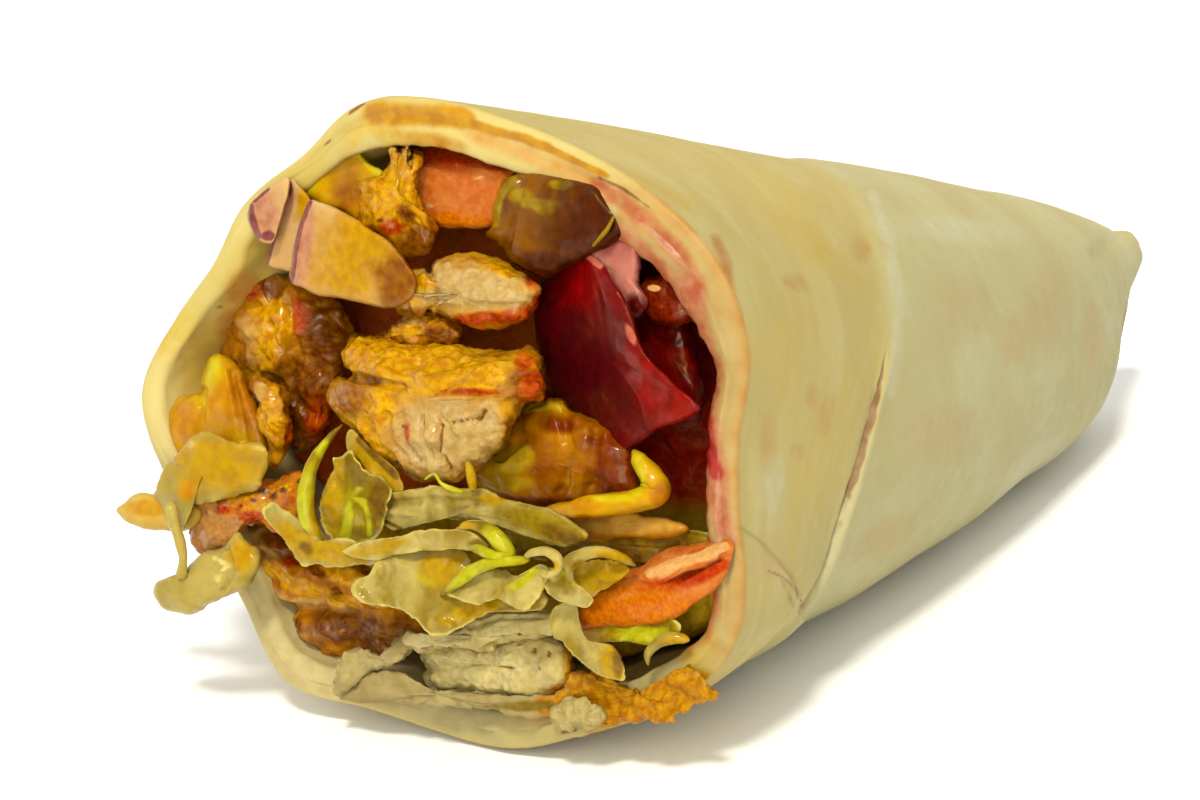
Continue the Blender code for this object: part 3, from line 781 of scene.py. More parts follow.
# The bread

# Edge of the loose flap at the lower right of the mouth, as angles and depths
FLAP_EDGE = (
    (-62.0, 36.0), (-52.0, 32.5), (-38.0, 26.0), (-34.0, 21.5),
    (-27.0, 15.5), (-23.0, 11.0), (-17.0, 4.5), (-14.0, 0.0),
)


def flap_y(angle):
    """Depth of the edge of the loose flap at the lower right of the mouth, or less than none."""
    for (a1, y1), (a2, y2) in zip(FLAP_EDGE, FLAP_EDGE[1:]):
        if a1 <= angle <= a2:
            return y1 + (y2 - y1) * (angle - a1) / (a2 - a1)
    return -5.0


# Marks on the outside, where the photograph shows them
OUTSIDE_MARKS = marks("stain 716,240>726,262>729,300>729,330>722,366>714,388*6@0.85 861,248,10,15@0.5 "
    "797,283,14,8,20@0.45 797,451,7,9@0.5 826,416,8,22,16@0.45 812,396,7,14@0.45 768,440,10,30@0.4; gold "
    "548,150>580,163>612,176>650,196>680,222*6@0.9 600,168>650,182>690,206*7@0.7 720,640,14,40@0.6 "
    "708,684,16,12@0.65 820,250,60,14,40@0.5 790,360,20,60@0.45; pale "
    "872,196>890,240>899,300>897,350>892,392*6@0.5 773,492,14,36@0.45 722,592,9,22@0.4 "
    "1030,468,46,12,-40@0.6 960,230,60,14,6@0.5; blush 1047,312,24,44,10@0.6 1012,341,16,26@0.5 "
    "1093,341,10,34@0.5 942,434,40,30@0.45 880,540,40,16,-30@0.5 960,310,30,40@0.35 770,560,16,22,30@0.5 "
    "576,738,20,10,-30@0.4; crack 768,571>783,577>795,588>801,602*2@0.6 782,579>788,594>793,606*3@0.45 "
    "748,548>760,563>769,574*0.9@0.3 1040,208>1075,222>1102,239>1112,246*1.4@0.2")
# Marks on the rim and the inner wall
INSIDE_MARKS = marks("sauce 374,112>400,115>440,115>464,119*11@1 464,121>490,130>525,139>548,148*5@1 "
    "548,148>575,161>606,175*3.5@1 596,716>640,712>672,704>704,686*16@1 590,700,30,22@0.7 "
    "430,140,40,8,10@0.7; gold 352,140>366,122>380,130>400,140*9@0.8 696,640,20,50@0.8 206,372,26,40@0.7 "
    "175,340,26,26@0.5 258,250,22,16@0.6; stain 242,292,16,22@0.9 232,330,14,34@0.75 "
    "470,132>520,152>580,178>640,210>690,262*9@0.7 560,712,40,9,-10@0.7 720,320,9,80@0.5; pink "
    "600,186>640,216>672,246>694,276*9@0.7 692,280>698,330>700,370>706,410>714,450>718,500>726,540*11@0.9; "
    "crimson 706,366>704,400>708,440>716,474*7@0.9 706,374,8,10@0.7; brown 220,306,4.5,1.6@0.9 "
    "350,113>363,104*1.8@0.8 326,144>332,139*1.6@0.8 600,178>622,188>650,208*1.8@0.7 "
    "556,722>575,730>560,733*2@0.8")
BREAD_PLACES = ("along", "turn_x", "turn_z", "mouth_side", "inside", "beige", "tone", "sheltered")
BREAD_MASKS = ("stain", "gold", "pale", "blush", "crack", "sauce", "pink", "crimson", "brown")


def to_pixel(point):
    off = point - EYE
    focal = LENS / SENSOR * IMAGE_WIDTH
    depth = -off.dot(BACK)
    return IMAGE_WIDTH / 2 + focal * off.dot(RIGHT) / depth, IMAGE_HEIGHT / 2 - focal * off.dot(UP) / depth


def bread_material():
    shade = Shade("flatbread")
    where = shade.tree.nodes.new("ShaderNodeCombineXYZ")
    shade.link(shade.mask("along"), where.inputs["X"])
    shade.link(shade.mask("turn_x"), where.inputs["Y"])
    shade.link(shade.mask("turn_z"), where.inputs["Z"])
    lanes = where.outputs["Vector"]
    streak = shade.noise(6.0, 3.0, (1, 5, 5), 1.6, lanes)
    mottle = shade.noise(13.0, 3.0, (1, 1, 1), 0.5)
    fine = shade.noise(2.2, 4.0)
    mouth_side = shade.mix(shade.step(streak, 0.30, 0.75), srgb(206, 183, 110), srgb(214, 194, 128))
    mouth_side = shade.mix(shade.step(mottle, 0.42, 0.75, 0.0, 0.7), mouth_side, srgb(214, 188, 100))
    tip_side = shade.mix(shade.step(mottle, 0.25, 0.75), srgb(212, 202, 152), srgb(204, 190, 132))
    cloud = shade.noise(22.0, 2.0, (1, 1, 1), 0.3, turn=(0.4, 0.9, 0.2))
    tip_side = shade.mix(shade.step(cloud, 0.45, 0.8, 0.0, 0.5), tip_side, srgb(200, 176, 116))
    colour = shade.mix(shade.mask("mouth_side"), tip_side, mouth_side)
    toast = shade.noise(4.2, 3.0, (1, 1, 1), 0.8, turn=(1.0, 0.2, 0.5))
    colour = shade.mix(shade.step(toast, 0.62, 0.80, 0.0, 0.3), colour, srgb(208, 164, 84))
    pores = shade.step(shade.cells(1.6), 0.02, 0.16, 0.08, 0.0)
    colour = shade.mix(pores, colour, srgb(150, 110, 50))
    wall = shade.mix(shade.step(mottle, 0.3, 0.7), srgb(202, 178, 90), srgb(212, 192, 122))
    # Painted light: brighter colours for the inner wall deeper in the mouth, where it lies in shade.
    bright = shade.mix(shade.step(mottle, 0.3, 0.7), srgb(230, 196, 84), srgb(238, 212, 118))
    wall = shade.mix(shade.mask("sheltered"), wall, bright)
    base = shade.mix(shade.step(fine, 0.3, 0.7), srgb(186, 166, 110), srgb(200, 182, 128))
    wall = shade.mix(shade.mask("beige"), wall, base)
    colour = shade.mix(shade.mask("inside"), colour, wall)
    fray = shade.math("MULTIPLY", shade.math("SUBTRACT", shade.noise(2.4, 4.0), 0.5), 0.9)
    rough_value = shade.step(fine, 0.3, 0.7, 0.58, 0.75)
    for attribute, first, second, soft, wet in (
        ("pale", (212, 204, 164), (222, 214, 180), 0.6, 0.65),
        ("blush", (206, 168, 108), (210, 180, 122), 0.7, 0.65),
        ("gold", (208, 170, 58), (214, 182, 84), 0.6, 0.5),
        ("stain", (196, 132, 44), (204, 150, 72), 0.6, 0.45),
        ("pink", (190, 92, 54), (208, 138, 92), 0.5, 0.25),
        ("crimson", (160, 20, 16), (188, 60, 44), 0.4, 0.2),
        ("sauce", (184, 122, 0), (204, 150, 6), 0.4, 0.3),
        # Painted shade: brown deeper in the wrap, and a few thin brown lines at the rim
        ("brown", (124, 74, 30), (150, 100, 50), 0.3, 0.5),
        # Torn crack with painted shadow under the edges of the seam and the flap
        ("crack", (150, 108, 66), (178, 140, 100), 0.3, 0.75),
    ):
        share = shade.uneven(attribute, fray, soft, 0.02, 0.25)
        inner = shade.mix(shade.step(fine, 0.32, 0.68), srgb(*first), srgb(*second))
        colour = shade.mix(share, colour, inner)
        rough_value = shade.mix(share, rough_value, wet, kind="FLOAT")
    # Painted shade: the bread is darker on its lower and right side, except deeper inside the mouth.
    colour = shade.mix(shade.mask("tone"), colour, (0.78, 0.80, 0.82, 1.0), "MULTIPLY")
    shade.link(colour, shade.shader.inputs["Base Color"])
    shade.link(rough_value, shade.shader.inputs["Roughness"])
    bump = shade.bump(shade.noise(9.0, 3.0, (1, 2, 2), 1.0, lanes), 0.12)
    bump = shade.bump(shade.noise(1.4, 4.0), 0.05, bump)
    bump = shade.bump(shade.cells(1.6), 0.02, bump)
    shade.link(bump, shade.shader.inputs["Normal"])
    shade.shader.inputs["IOR"].default_value = 1.35
    shade.soft(0.22, 1.6, (1.0, 0.75, 0.4))
    return shade.material


def seam_profile(off, angle, jitter):
    """Rise of the surface near the seam, by distance past it."""
    torn = within(-14.0, 12.0, 4.0, signed(angle))
    worn = within(-38.0, -12.0, 4.0, signed(angle))
    ridge = (0.04 + 0.10 * torn + 0.16 * worn) * math.exp(-((off - 1.0) / 0.8) ** 2)
    ridge += 0.16 * worn * math.exp(-((off + 1.1) / 0.7) ** 2)
    groove = -0.36 * torn * (1.0 + jitter) * math.exp(-(off / 0.2) ** 2)
    groove -= 0.45 * worn * (1.0 + jitter) * math.exp(-(off / 0.5) ** 2)
    return seam_strength(angle) * (ridge + groove)


TIP_CREASE = line(numbers("1080,266 1098,252 1114,240"), 7.0, 0.9)


def outside_rise(y, angle, off):
    """Relief of the outside: soft dents, the seam, the flap and the tip's crease."""
    base = outer_point(y, angle)
    rise = 0.34 * rough(base, 22.0, 3, 2) + 0.04 * rough(base, 6.0, 5, 2)
    seam = seam_profile(off, angle, rough(base, 1.6, 7, 2))
    rise += seam + 0.05 * math.exp(-(off / 1.5) ** 2) * rough(base, 1.2, 9, 2)
    side = signed(angle)
    flap = flap_y(side)
    if flap > 0.0:
        raised = 1.0 - smoothstep(-0.3, 0.3, y - flap)
        thinner = 1.0 - 0.7 * smoothstep(0.0, 16.0, flap - y)
        rise += 0.6 * raised * thinner * within(-75.0, -16.0, 5.0, side)
        rise -= 0.3 * math.exp(-((y - flap - 0.6) / 0.5) ** 2)
    if y > 120.0 and -60.0 < side < 120.0:
        rise -= 1.0 * TIP_CREASE(*to_pixel(base))
        rise -= 2.0 * smoothstep(126.0, 146.0, y) * within(-85.0, 12.0, 22.0, side)
        rise += 1.8 * math.exp(-((y - 154.5) / 3.0) ** 2) * within(58.0, 118.0, 12.0, side)
    return rise * (1.0 - 0.6 * smoothstep(LENGTH - 6.0, LENGTH, y))


def on_table(point):
    placed = lying(point)
    if placed.z < 0.0:
        placed.z = 0.0
        return TIP_OVER.transposed() @ (placed / MM) + BASE_CENTRE
    return point


# Angles between which the rim is wet and coarse, and how softly that begins and ends
WET_SIDE = (-24.0, 50.0, 10.0)


def torn_edge(angle, layer):
    """Uneven torn edge of one turn at the rim."""
    radians = math.radians(angle)
    around = Vector((math.cos(radians) * 9.0, math.sin(radians) * 9.0, layer * 5.0))
    side = signed(angle)
    strength = 0.5 + 0.6 * within(*WET_SIDE, side) * layer + 1.1 * within(-88.0, -52.0, 6.0, side)
    return strength * rough(around, 2.0, 11 + layer, 3)


def bread_angles():
    """Angles round the roll, twice as close where the photograph shows the seam's tear."""
    angles = [-180.0]
    while angles[-1] < 180.0:
        angles.append(angles[-1] + 1.12 - 0.6 * within(-58.0, 14.0, 4.0, angles[-1]))
    return angles[:-1]


def lip_in(angle, depth):
    """The inner turn swells into the mouth at the top and the upper right."""
    side = signed(angle)
    swell = 2.2 * within(52.0, 112.0, 12.0, side)
    swell += 3.2 * within(18.0, 54.0, 9.0, side)
    swell += 0.8 * within(-20.0, 18.0, 9.0, side)
    return swell * math.exp(-max(depth, 0.0) / 6.0)


def inner_relief(point, angle, depth):
    """Lumps of the inner wall, wet and coarse at the right of the mouth."""
    wet = within(*WET_SIDE, signed(angle)) * (1.0 - smoothstep(5.0, 12.0, depth))
    return 0.4 * rough(point, 6.0, 21, 4) + 0.5 * wet * rough(point, 2.6, 22, 3)


# Rows of the skin from the tip to the seam, from the seam to the rim, over the rim and inside
ROWS_TIP_SIDE = 62
ROWS_MOUTH_SIDE = 78
ROWS_RIM = 26
ROWS_INSIDE = 44
# Depth of the rim's rounded edge, and a distance past the seam that stands for none
RIM_ROUND = 0.9
OFF_SEAM = -30.0
# Distances past the seam of the close rows along it
ROWS_AT_SEAM = (
    3.0, 2.2, 1.6, 1.1, 0.75, 0.5, 0.32, 0.2, 0.1, 0.0,
    -0.1, -0.2, -0.32, -0.5, -0.8, -1.2, -1.8, -2.6,
)


def make_bread():
    angles = bread_angles()
    values = {name: [] for name in BREAD_PLACES}
    kinds = []
    rings = []

    def paint(y, angle, across, off):
        side = signed(angle)
        seam = seam_y(angle)
        depth = y - rim_shift(angle)
        share = depth / max(seam, 1.0) if y < seam else 1.0 + (y - seam) / 40.0
        values["along"].append(share * 0.036)
        values["turn_x"].append(math.cos(math.radians(side)) * 0.04)
        values["turn_z"].append(math.sin(math.radians(side)) * 0.04)
        values["mouth_side"].append(1.0 - smoothstep(-3.5, 2.5, y - seam))
        values["inside"].append(smoothstep(0.0, 0.3, across))
        low, right = within(-168.0, -70.0, 14.0, side), within(-70.0, 60.0, 14.0, side)
        values["beige"].append(max(low, 0.6 * right))
        in_mouth = smoothstep(4.0, 10.0, depth) * smoothstep(0.9, 1.0, across)
        # Painted shade on the lower and right side, except deeper inside the mouth.
        values["tone"].append(within(-90.0, 44.0, 26.0, side) * (1.0 - in_mouth))
        # Painted light on the inner wall deeper in the mouth, where it lies in shade.
        values["sheltered"].append(smoothstep(1.0, 7.0, depth) * smoothstep(0.99, 1.0, across))
        kinds.append((across, depth, side, off))

    def mouth_side_depth(angle, share):
        return rim_shift(angle) + RIM_ROUND + share * (seam_y(angle) - 2.6 - RIM_ROUND - rim_shift(angle))

    def ring_outside(depth_at):
        row = []
        for a in angles:
            y = depth_at(a)
            off = y - seam_y(a)
            point = outer_point(y, a, -outside_rise(y, a, off))
            point.y -= 3.0 * smoothstep(132.0, 156.0, y) * within(-95.0, 15.0, 30.0, signed(a))
            row.append(on_table(point))
            paint(y, a, 0.0, off)
        rings.append(row)

    for k in range(ROWS_TIP_SIDE, 0, -1):
        share = (k / ROWS_TIP_SIDE) ** 1.15
        share = 1.0 - (1.0 - share) ** 1.12
        ring_outside(lambda a, s=share: seam_y(a) + 3.0 + s * (LENGTH - seam_y(a) - 3.0))
    for off in ROWS_AT_SEAM:
        ring_outside(lambda a, o=off: seam_y(a) + o)
    for k in range(ROWS_MOUTH_SIDE - 1, -1, -1):
        share = (k / ROWS_MOUTH_SIDE) ** 1.1
        ring_outside(lambda a, s=share: mouth_side_depth(a, s))
    for k in range(1, ROWS_RIM + 1):
        across = k / ROWS_RIM
        row = []
        for a in angles:
            side = signed(a)
            parted = within(46.0, 120.0, 10.0, side)
            sunk = RIM_ROUND * (1.0 - math.sqrt(max(1.0 - (2.0 * across - 1.0) ** 2, 0.0)))
            sunk += 0.55 * parted * math.exp(-((across - 0.42) / 0.15) ** 2)
            fray = torn_edge(a, 0 if across < 0.5 else 1) * (1.0 - abs(2.0 * across - 1.0)) ** 0.6
            y = rim_shift(a) + sunk + fray
            rise = outside_rise(rim_shift(a) + RIM_ROUND, a, OFF_SEAM) * (1.0 - across)
            thick = (wall_at(a) + lip_in(a, 0.0)) * across
            point = outer_point(y, a, thick)
            relief = inner_relief(point, a, 0.0) * smoothstep(0.4, 1.0, across)
            row.append(on_table(outer_point(y, a, thick - rise + relief)))
            paint(y, a, max(across, 0.01), OFF_SEAM)
        rings.append(row)
    for k in range(1, ROWS_INSIDE + 1):
        depth = RIM_ROUND + (CAVITY_END - RIM_ROUND) * (k / ROWS_INSIDE) ** 1.9
        row = []
        for a in angles:
            y = depth + rim_shift(a) * (1.0 - smoothstep(0.0, 20.0, depth))
            row.append(inner_point(y, a, lip_in(a, depth) + inner_relief(inner_point(y, a), a, depth)))
            paint(y, a, 1.0, OFF_SEAM)
        rings.append(row)
    tip = middle_at(LENGTH, 1.0)
    end = middle_at(CAVITY_END, 2.0)
    points, faces = skin(rings, tip, end)
    for name in values:
        values[name] += [values[name][0], values[name][-1]]
    kinds += [kinds[0], kinds[-1]]
    faces = turned_outward(points, faces)
    normals = normals_of(points, faces)
    for name in BREAD_MASKS:
        values[name] = []
    for point, normal, (across, depth, side, off) in zip(points, normals, kinds):
        x, y = to_pixel(point)
        facing = smoothstep(0.0, 0.12, float(normal[0] * BACK.x + normal[1] * BACK.y + normal[2] * BACK.z))
        outside = across == 0.0
        drawn = OUTSIDE_MARKS if outside else INSIDE_MARKS
        shown = facing if outside else 1.0 - smoothstep(12.0, 24.0, depth)
        here = {name: 0.0 for name in BREAD_MASKS}
        if shown > 0.0:
            for name, shapes in drawn.items():
                here[name] = shown * strongest(shapes, x, y)
        right = within(-34.0, 50.0, 8.0, side)
        if outside:
            jitter = 0.5 + 0.8 * rough(point, 2.4, 12, 2)
            torn = within(-15.0, 12.0, 3.0, side)
            worn = within(-38.0, -13.0, 3.0, side)
            # A dark line along the torn seam: the crack, and painted shadow under the seam's edge.
            crack = torn * math.exp(-(off / 0.2) ** 2) * (0.6 + jitter)
            crack += 0.45 * worn * jitter * math.exp(-(off / 0.4) ** 2)
            here["crack"] = max(here["crack"], min(crack, 1.0))
            # Paler along the worn and torn parts of the seam.
            flour = max(0.35 * worn * math.exp(-off ** 2), 0.15 * torn * math.exp(-(off / 0.8) ** 2))
            here["pale"] = max(here["pale"], flour)
            soaked = within(-90.0, -54.0, 5.0, side) * (1.0 - smoothstep(0.4, 2.6, depth))
            here["sauce"] = max(here["sauce"], soaked)
            here["stain"] = max(here["stain"], 0.7 * right * (1.0 - smoothstep(0.8, 1.8, depth)))
        else:
            # Painted shade: the inner wall turns brown deeper in the wrap.
            deep = smoothstep(16.0, 36.0, depth) * smoothstep(0.99, 1.0, across)
            here["brown"] = max(here["brown"], 0.7 * deep)
            here["stain"] = max(here["stain"], right * (0.75 - 0.35 * smoothstep(0.05, 0.3, across)))
            juicy = right * smoothstep(0.45, 0.9, across) * (1.0 - smoothstep(10.0, 22.0, depth))
            here["pink"] = max(here["pink"], juicy)
        for name in BREAD_MASKS:
            values[name].append(here[name])
    finish_piece("flatbread_roll", points, faces, values, bread_material(), "flatbread")


# Where the core's front and sides lie, and how finely it is divided
CORE_START = 20.5
CORE_RUN = 104.0
CORE_END = 125.0
CORE_AROUND = 150
CORE_FRONT_RINGS = 36
CORE_SIDE_RINGS = 30


def make_core():
    """The dark mixed filling behind the pieces that show."""
    material = food("filling_core", (196, 70, 4), (222, 108, 8), size=6.0, rough=0.5, masks=(
        ("leafy", (186, 142, 8), (214, 178, 40), 0.5, 0.5),
        ("wine", (170, 18, 8), (206, 44, 10), 0.5, 0.4),
    ), lump=2.4, lump_depth=0.5, grain=0.8, grain_depth=0.15, soften=0.1)
    angles = [360.0 * k / CORE_AROUND for k in range(CORE_AROUND)]
    middle = Vector((2.0, 0.0, 35.0))
    rings = []
    for k in range(1, CORE_FRONT_RINGS):
        row = []
        for a in angles:
            point = middle.lerp(inner_point(18.0, a, 0.5), k / CORE_FRONT_RINGS)
            low = smoothstep(34.0, 22.0, point.z) if point.z < 34.0 else 0.0
            point.y = 17.5 + 3.0 * rough(point, 9.0, 4, 4) - 2.0 * low * abs(rough(point, 3.0, 6, 2))
            row.append(point)
        rings.append(row)
    for k in range(CORE_SIDE_RINGS):
        y = CORE_START + CORE_RUN * (k / (CORE_SIDE_RINGS - 1))
        rings.append([inner_point(y, a, 0.6 + 0.25 * rough(inner_point(y, a), 6.0, 8, 2)) for a in angles])
    front = Vector((2.0, 19.0, 35.0))
    points, faces = skin(rings, front, middle_at(CORE_END, 2.0))
    pixels = [to_pixel(point) for point in points]
    masks = {
        "leafy": [smoothstep(488.0, 520.0, y) for x, y in pixels],
        "wine": [smoothstep(540.0, 600.0, x) * (1.0 - smoothstep(480.0, 520.0, y)) for x, y in pixels],
    }
    faces = turned_outward(points, faces)
    finish_piece("core_mix", points, faces, masks, material, "filling_core")


# The filling

YELLOW = ((204, 130, 0), (238, 184, 8))


def chicken_material(name, base, pale, size=3.0, crust=((134, 74, 6), (184, 116, 14))):
    return food(name, base[0], base[1], size=size, rough=0.36, masks=(
        ("pale", pale[0], pale[1], 0.4, 0.5),
        ("glaze", YELLOW[0], YELLOW[1], 0.5, 0.2),
        ("crust", crust[0], crust[1], 0.5, 0.3),
        ("red", (168, 40, 2), (206, 92, 8), 0.5, 0.25),
        # The split colour is painted shade in the meat's splits and pits
        ("split", (140, 84, 24), (168, 108, 42), 0.25, 0.5),
    ), grain=0.6, grain_depth=0.12, lump=1.6, lump_depth=0.35, soften=0.3, reach=1.8, wet=0.8)


def make_cut_chicken():
    cut = chicken_material("chicken_cut", ((190, 124, 8), (220, 166, 30)), ((196, 156, 104),
        (216, 188, 150)))
    slab("chicken_centre", cut, "chicken_cut", depth=-7, half=9, boxy=4.5,
        creases=((545, 388, 340, 374, 0.1),), crag=0.75, crag_size=3, seed=21, around=230, rows=40,
        outline="348,345 356,336 364,338 380,337 400,342 430,343 460,348 500,353 528,351 537,358 541,375 "
            "541,395 528,401 518,410 512,425 508,440 490,455 478,464 470,471 455,478 440,479 420,478 "
            "400,468 385,458 372,446 362,434 352,424 340,414 333,404 331,394 336,381 345,377 352,372 "
            "346,364 345,354",
        paint="pale 446,430,56,32,4 430,450,36,26,20 488,425,14,24; glaze 400,356,56,22,4 470,368,50,12,6 "
            "360,352,18,16 378,410,16,22,30 446,388,60,6 372,440,8,26,-40; crust 350,398,17,18 "
            "366,380,14,8 520,388,16,22 508,430,5,22; red 532,388,12,24 524,362,10,8 470,392,30,4 "
            "408,432,4,12; split 478,421>484,411*1.5 446,424>462,421>478,418*0.9 "
            "439,424>440,442>436,455*1.2 420,416>424,436*0.8 403,425>408,440*1.4 444,460>450,472*1.2",
        carve="478,421>484,411*2.4@0.9 446,424>462,421>478,418*2@0.5 439,424>440,442>436,455*2.2@0.8 "
            "420,416>424,440>432,462*2.2@0.5 401,414>404,440>416,462*2.6@0.5 "
            "388,412>390,440>408,466*2.4@0.5 372,420>380,444>400,466*2.4@0.5 346,376>372,380>400,388*4@1 "
            "404,384>440,392>500,396*3@0.4 444,458>452,474*2.2@0.7")
    slab("chicken_strip", cut, "chicken_cut", depth=-3.5, half=8.5, boxy=3.8, crag=0.7, crag_size=4,
        seed=22, around=160, rows=26,
        outline="388,294 392,290 400,295 402,285 410,275 420,270 430,271 440,263 455,259 480,258 500,262 "
            "516,271 532,281 541,290 540,302 534,312 524,320 508,324 490,327 470,327 456,323 446,317 "
            "430,313 420,316 405,314 396,306 391,300",
        paint="pale 470,288,62,24,2 510,298,26,14; glaze 400,300,12,10 505,268,22,7,20 420,282,14,10; "
            "crust 414,312,22,5; red 456,322>490,318>540,314*6 532,280,8,10 540,302,6,14",
        carve="430,272>432,300>428,314*3.4@0.7 470,272>478,296*3@0.3 440,310>480,305>530,308*3.6@0.4")


def make_pale_chicken():
    pale = chicken_material("chicken_pale", ((180, 160, 112), (212, 196, 154)), ((194, 176, 134),
        (220, 206, 172)), size=2.4)
    slab("chicken_low_slab", pale, "chicken_cut", depth=-3, half=8, boxy=5, crag=0.5, crag_size=2.6,
        seed=24, around=170, rows=30,
        outline="424,656 432,648 445,643 460,645 480,648 500,641 520,635 545,633 560,640 570,655 572,672 "
            "564,690 545,697 520,696 495,695 470,692 445,690 432,685 427,676 432,669 428,662",
        paint="pale 480,668,60,26; glaze 574,668,10,34; crust 560,690,16,6; split 477,664>484,668*1.2 "
            "532,651,2,3 512,668,4,1.2,-10 548,654,1.4,3 540,668,1.5,2 520,645,2.4,1",
        carve="476,664>485,668*2.4@0.7 532,651,3,4@0.5 512,668,5,2,-10@0.5 548,654,2,4@0.5 "
            "440,660>470,668>500,664*3@0.3 520,650>530,668*2.4@0.3")
    slab("chicken_low_flake", pale, "chicken_cut", depth=-6, half=5, boxy=4.6, crag=0.5, crag_size=3,
        seed=25, around=160, rows=23,
        outline="403,641 410,633 420,637 440,634 460,629 475,619 495,611 520,609 545,612 558,618 562,634 "
            "545,638 520,639 500,644 488,650 470,648 450,644 440,648 430,652 418,652 412,646",
        paint="pale 470,630,70,14,-12; split 488,647>500,641>512,636*1.6 420,650>432,648*1.4",
        carve="470,627>500,617>545,616*3@0.4 486,648>500,642>514,636*2.4@1 440,640>470,636*2.6@0.3")


def make_brown_chicken():
    brown = chicken_material("chicken_brown", ((166, 92, 4), (214, 144, 10)), ((196, 146, 76),
        (216, 172, 112)), size=3, crust=((100, 40, 2), (150, 84, 4)))
    slab("chicken_crumb", brown, "chicken", depth=-1.5, half=5, boxy=3, crag=0.8, crag_size=2.4, seed=23,
        around=120, rows=20,
        outline="376,341 386,334 394,326 402,320 412,317 426,316 442,318 454,325 460,334 452,342 430,344 "
            "404,345",
        paint="pale 410,326,14,8; glaze 412,330,12,6 394,336,10,5; crust 440,334,18,7; red 386,340,8,4")
    # On chicken_left the pale spots at the upper left are painted highlights, and the two large crust marks
    # on the right are painted shade.
    slab("chicken_left", brown, "chicken", depth=5, half=6.5, boxy=3, crag=1.6, crag_size=5, seed=26,
        around=190, rows=33,
        outline="226,296 234,278 250,270 266,280 288,283 306,287 326,296 346,312 350,345 342,380 330,410 "
            "318,440 300,452 288,440 282,412 276,392 262,384 248,384 240,366 232,340",
        paint="pale 250,330,11,14 258,352,10,18; glaze 268,308,22,18 270,345,14,36 284,322,10,14 "
            "262,372,14,10; crust 322,350,28,60 300,400,26,50 262,290,26,6; red 300,318,10,20 "
            "248,288,12,12 318,420,14,26; split 305,345,4,8",
        carve="252,304,5,4@1 288,300>292,340>288,380*5@1.2 268,326,4,6@0.8")
    slab("chicken_left_tail", brown, "chicken", depth=-1, half=3.6, boxy=2.6, crag=0.9, crag_size=3,
        seed=27, around=110, rows=20,
        outline="250,384 262,378 278,384 286,400 289,420 287,440 281,455 274,468 268,458 266,442 255,434 "
            "254,424 261,416 258,400",
        paint="pale 260,392,6,12; glaze 272,425,12,40; red 288,440,4,20")
    crusty = chicken_material("chicken_crusty", ((196, 96, 8), (224, 142, 24)), ((186, 126, 74),
        (206, 150, 98)), size=2, crust=((60, 26, 4), (110, 54, 8)))
    slab("chicken_crust", crusty, "chicken", depth=-5, half=5, boxy=3, crag=0.8, crag_size=2.4, seed=28,
        around=190, rows=33,
        outline="188,503 200,496 215,497 235,495 250,487 265,482 280,482 298,473 306,490 306,520 300,534 "
            "285,532 270,524 258,520 245,524 236,536 228,546 214,553 203,552 196,540 190,522",
        paint="pale 212,528,28,24 196,508,8,10; glaze 245,495,12,5 286,486,8,5 262,508,16,7 232,500,5,3; "
            "crust 272,495,5,5 283,490,4,3 262,490,5,2.5 252,500,3,2 300,482,4,3 240,506,3,2 268,512,4,2 "
            "256,518,6,3; red 222,510,10,5 252,516,14,5")
    slab("chicken_low_left", brown, "chicken", depth=1, half=7.5, boxy=3.2, crag=1.3, crag_size=4.5,
        seed=29, around=210, rows=35,
        outline="232,530 250,519 268,527 285,538 300,552 312,562 330,562 350,566 374,572 392,588 404,610 "
            "424,628 412,642 398,647 385,654 372,652 355,658 342,664 324,656 304,642 292,628 288,612 "
            "268,603 250,590 246,572 240,552",
        paint="pale 262,545,22,16,30 272,596,18,8,20 300,604,16,6 312,636,10,10; glaze 268,570,20,9,14 "
            "300,586,28,8,24 344,604,22,7 345,578,26,7,14; crust 332,592,6,4 360,632,56,20,8 "
            "280,548,20,8,40 316,572,10,5 300,625,8,8; red 290,562,10,5; split 396,634,20,8",
        carve="332,592,5,4@0.9 246,552>290,556>320,572*4@0.8 260,600>300,612>350,612*5@0.9")
    # On chicken_top the large crust mark low on the right is painted shade.
    slab("chicken_top", brown, "chicken", depth=-1.5, half=7, boxy=3.4, crag=0.9, crag_size=3.4, seed=30,
        around=180, rows=27,
        outline="356,222 360,205 362,190 366,180 380,178 388,171 392,160 391,150 396,144 399,151 403,142 "
            "410,142 412,154 415,151 420,160 418,172 416,190 420,212 432,222 436,238 426,252 408,258 "
            "398,253 388,246 376,236 364,229",
        paint="pale 400,156,12,14 372,184,9,5; glaze 392,196,34,44 372,220,16,14; crust 418,240,22,12 "
            "383,219,2.6,2.2 406,214,8,12; red 390,228,12,8",
        carve="402,146>402,164*1.6@0.9 411,148>410,168*1.6@0.9")


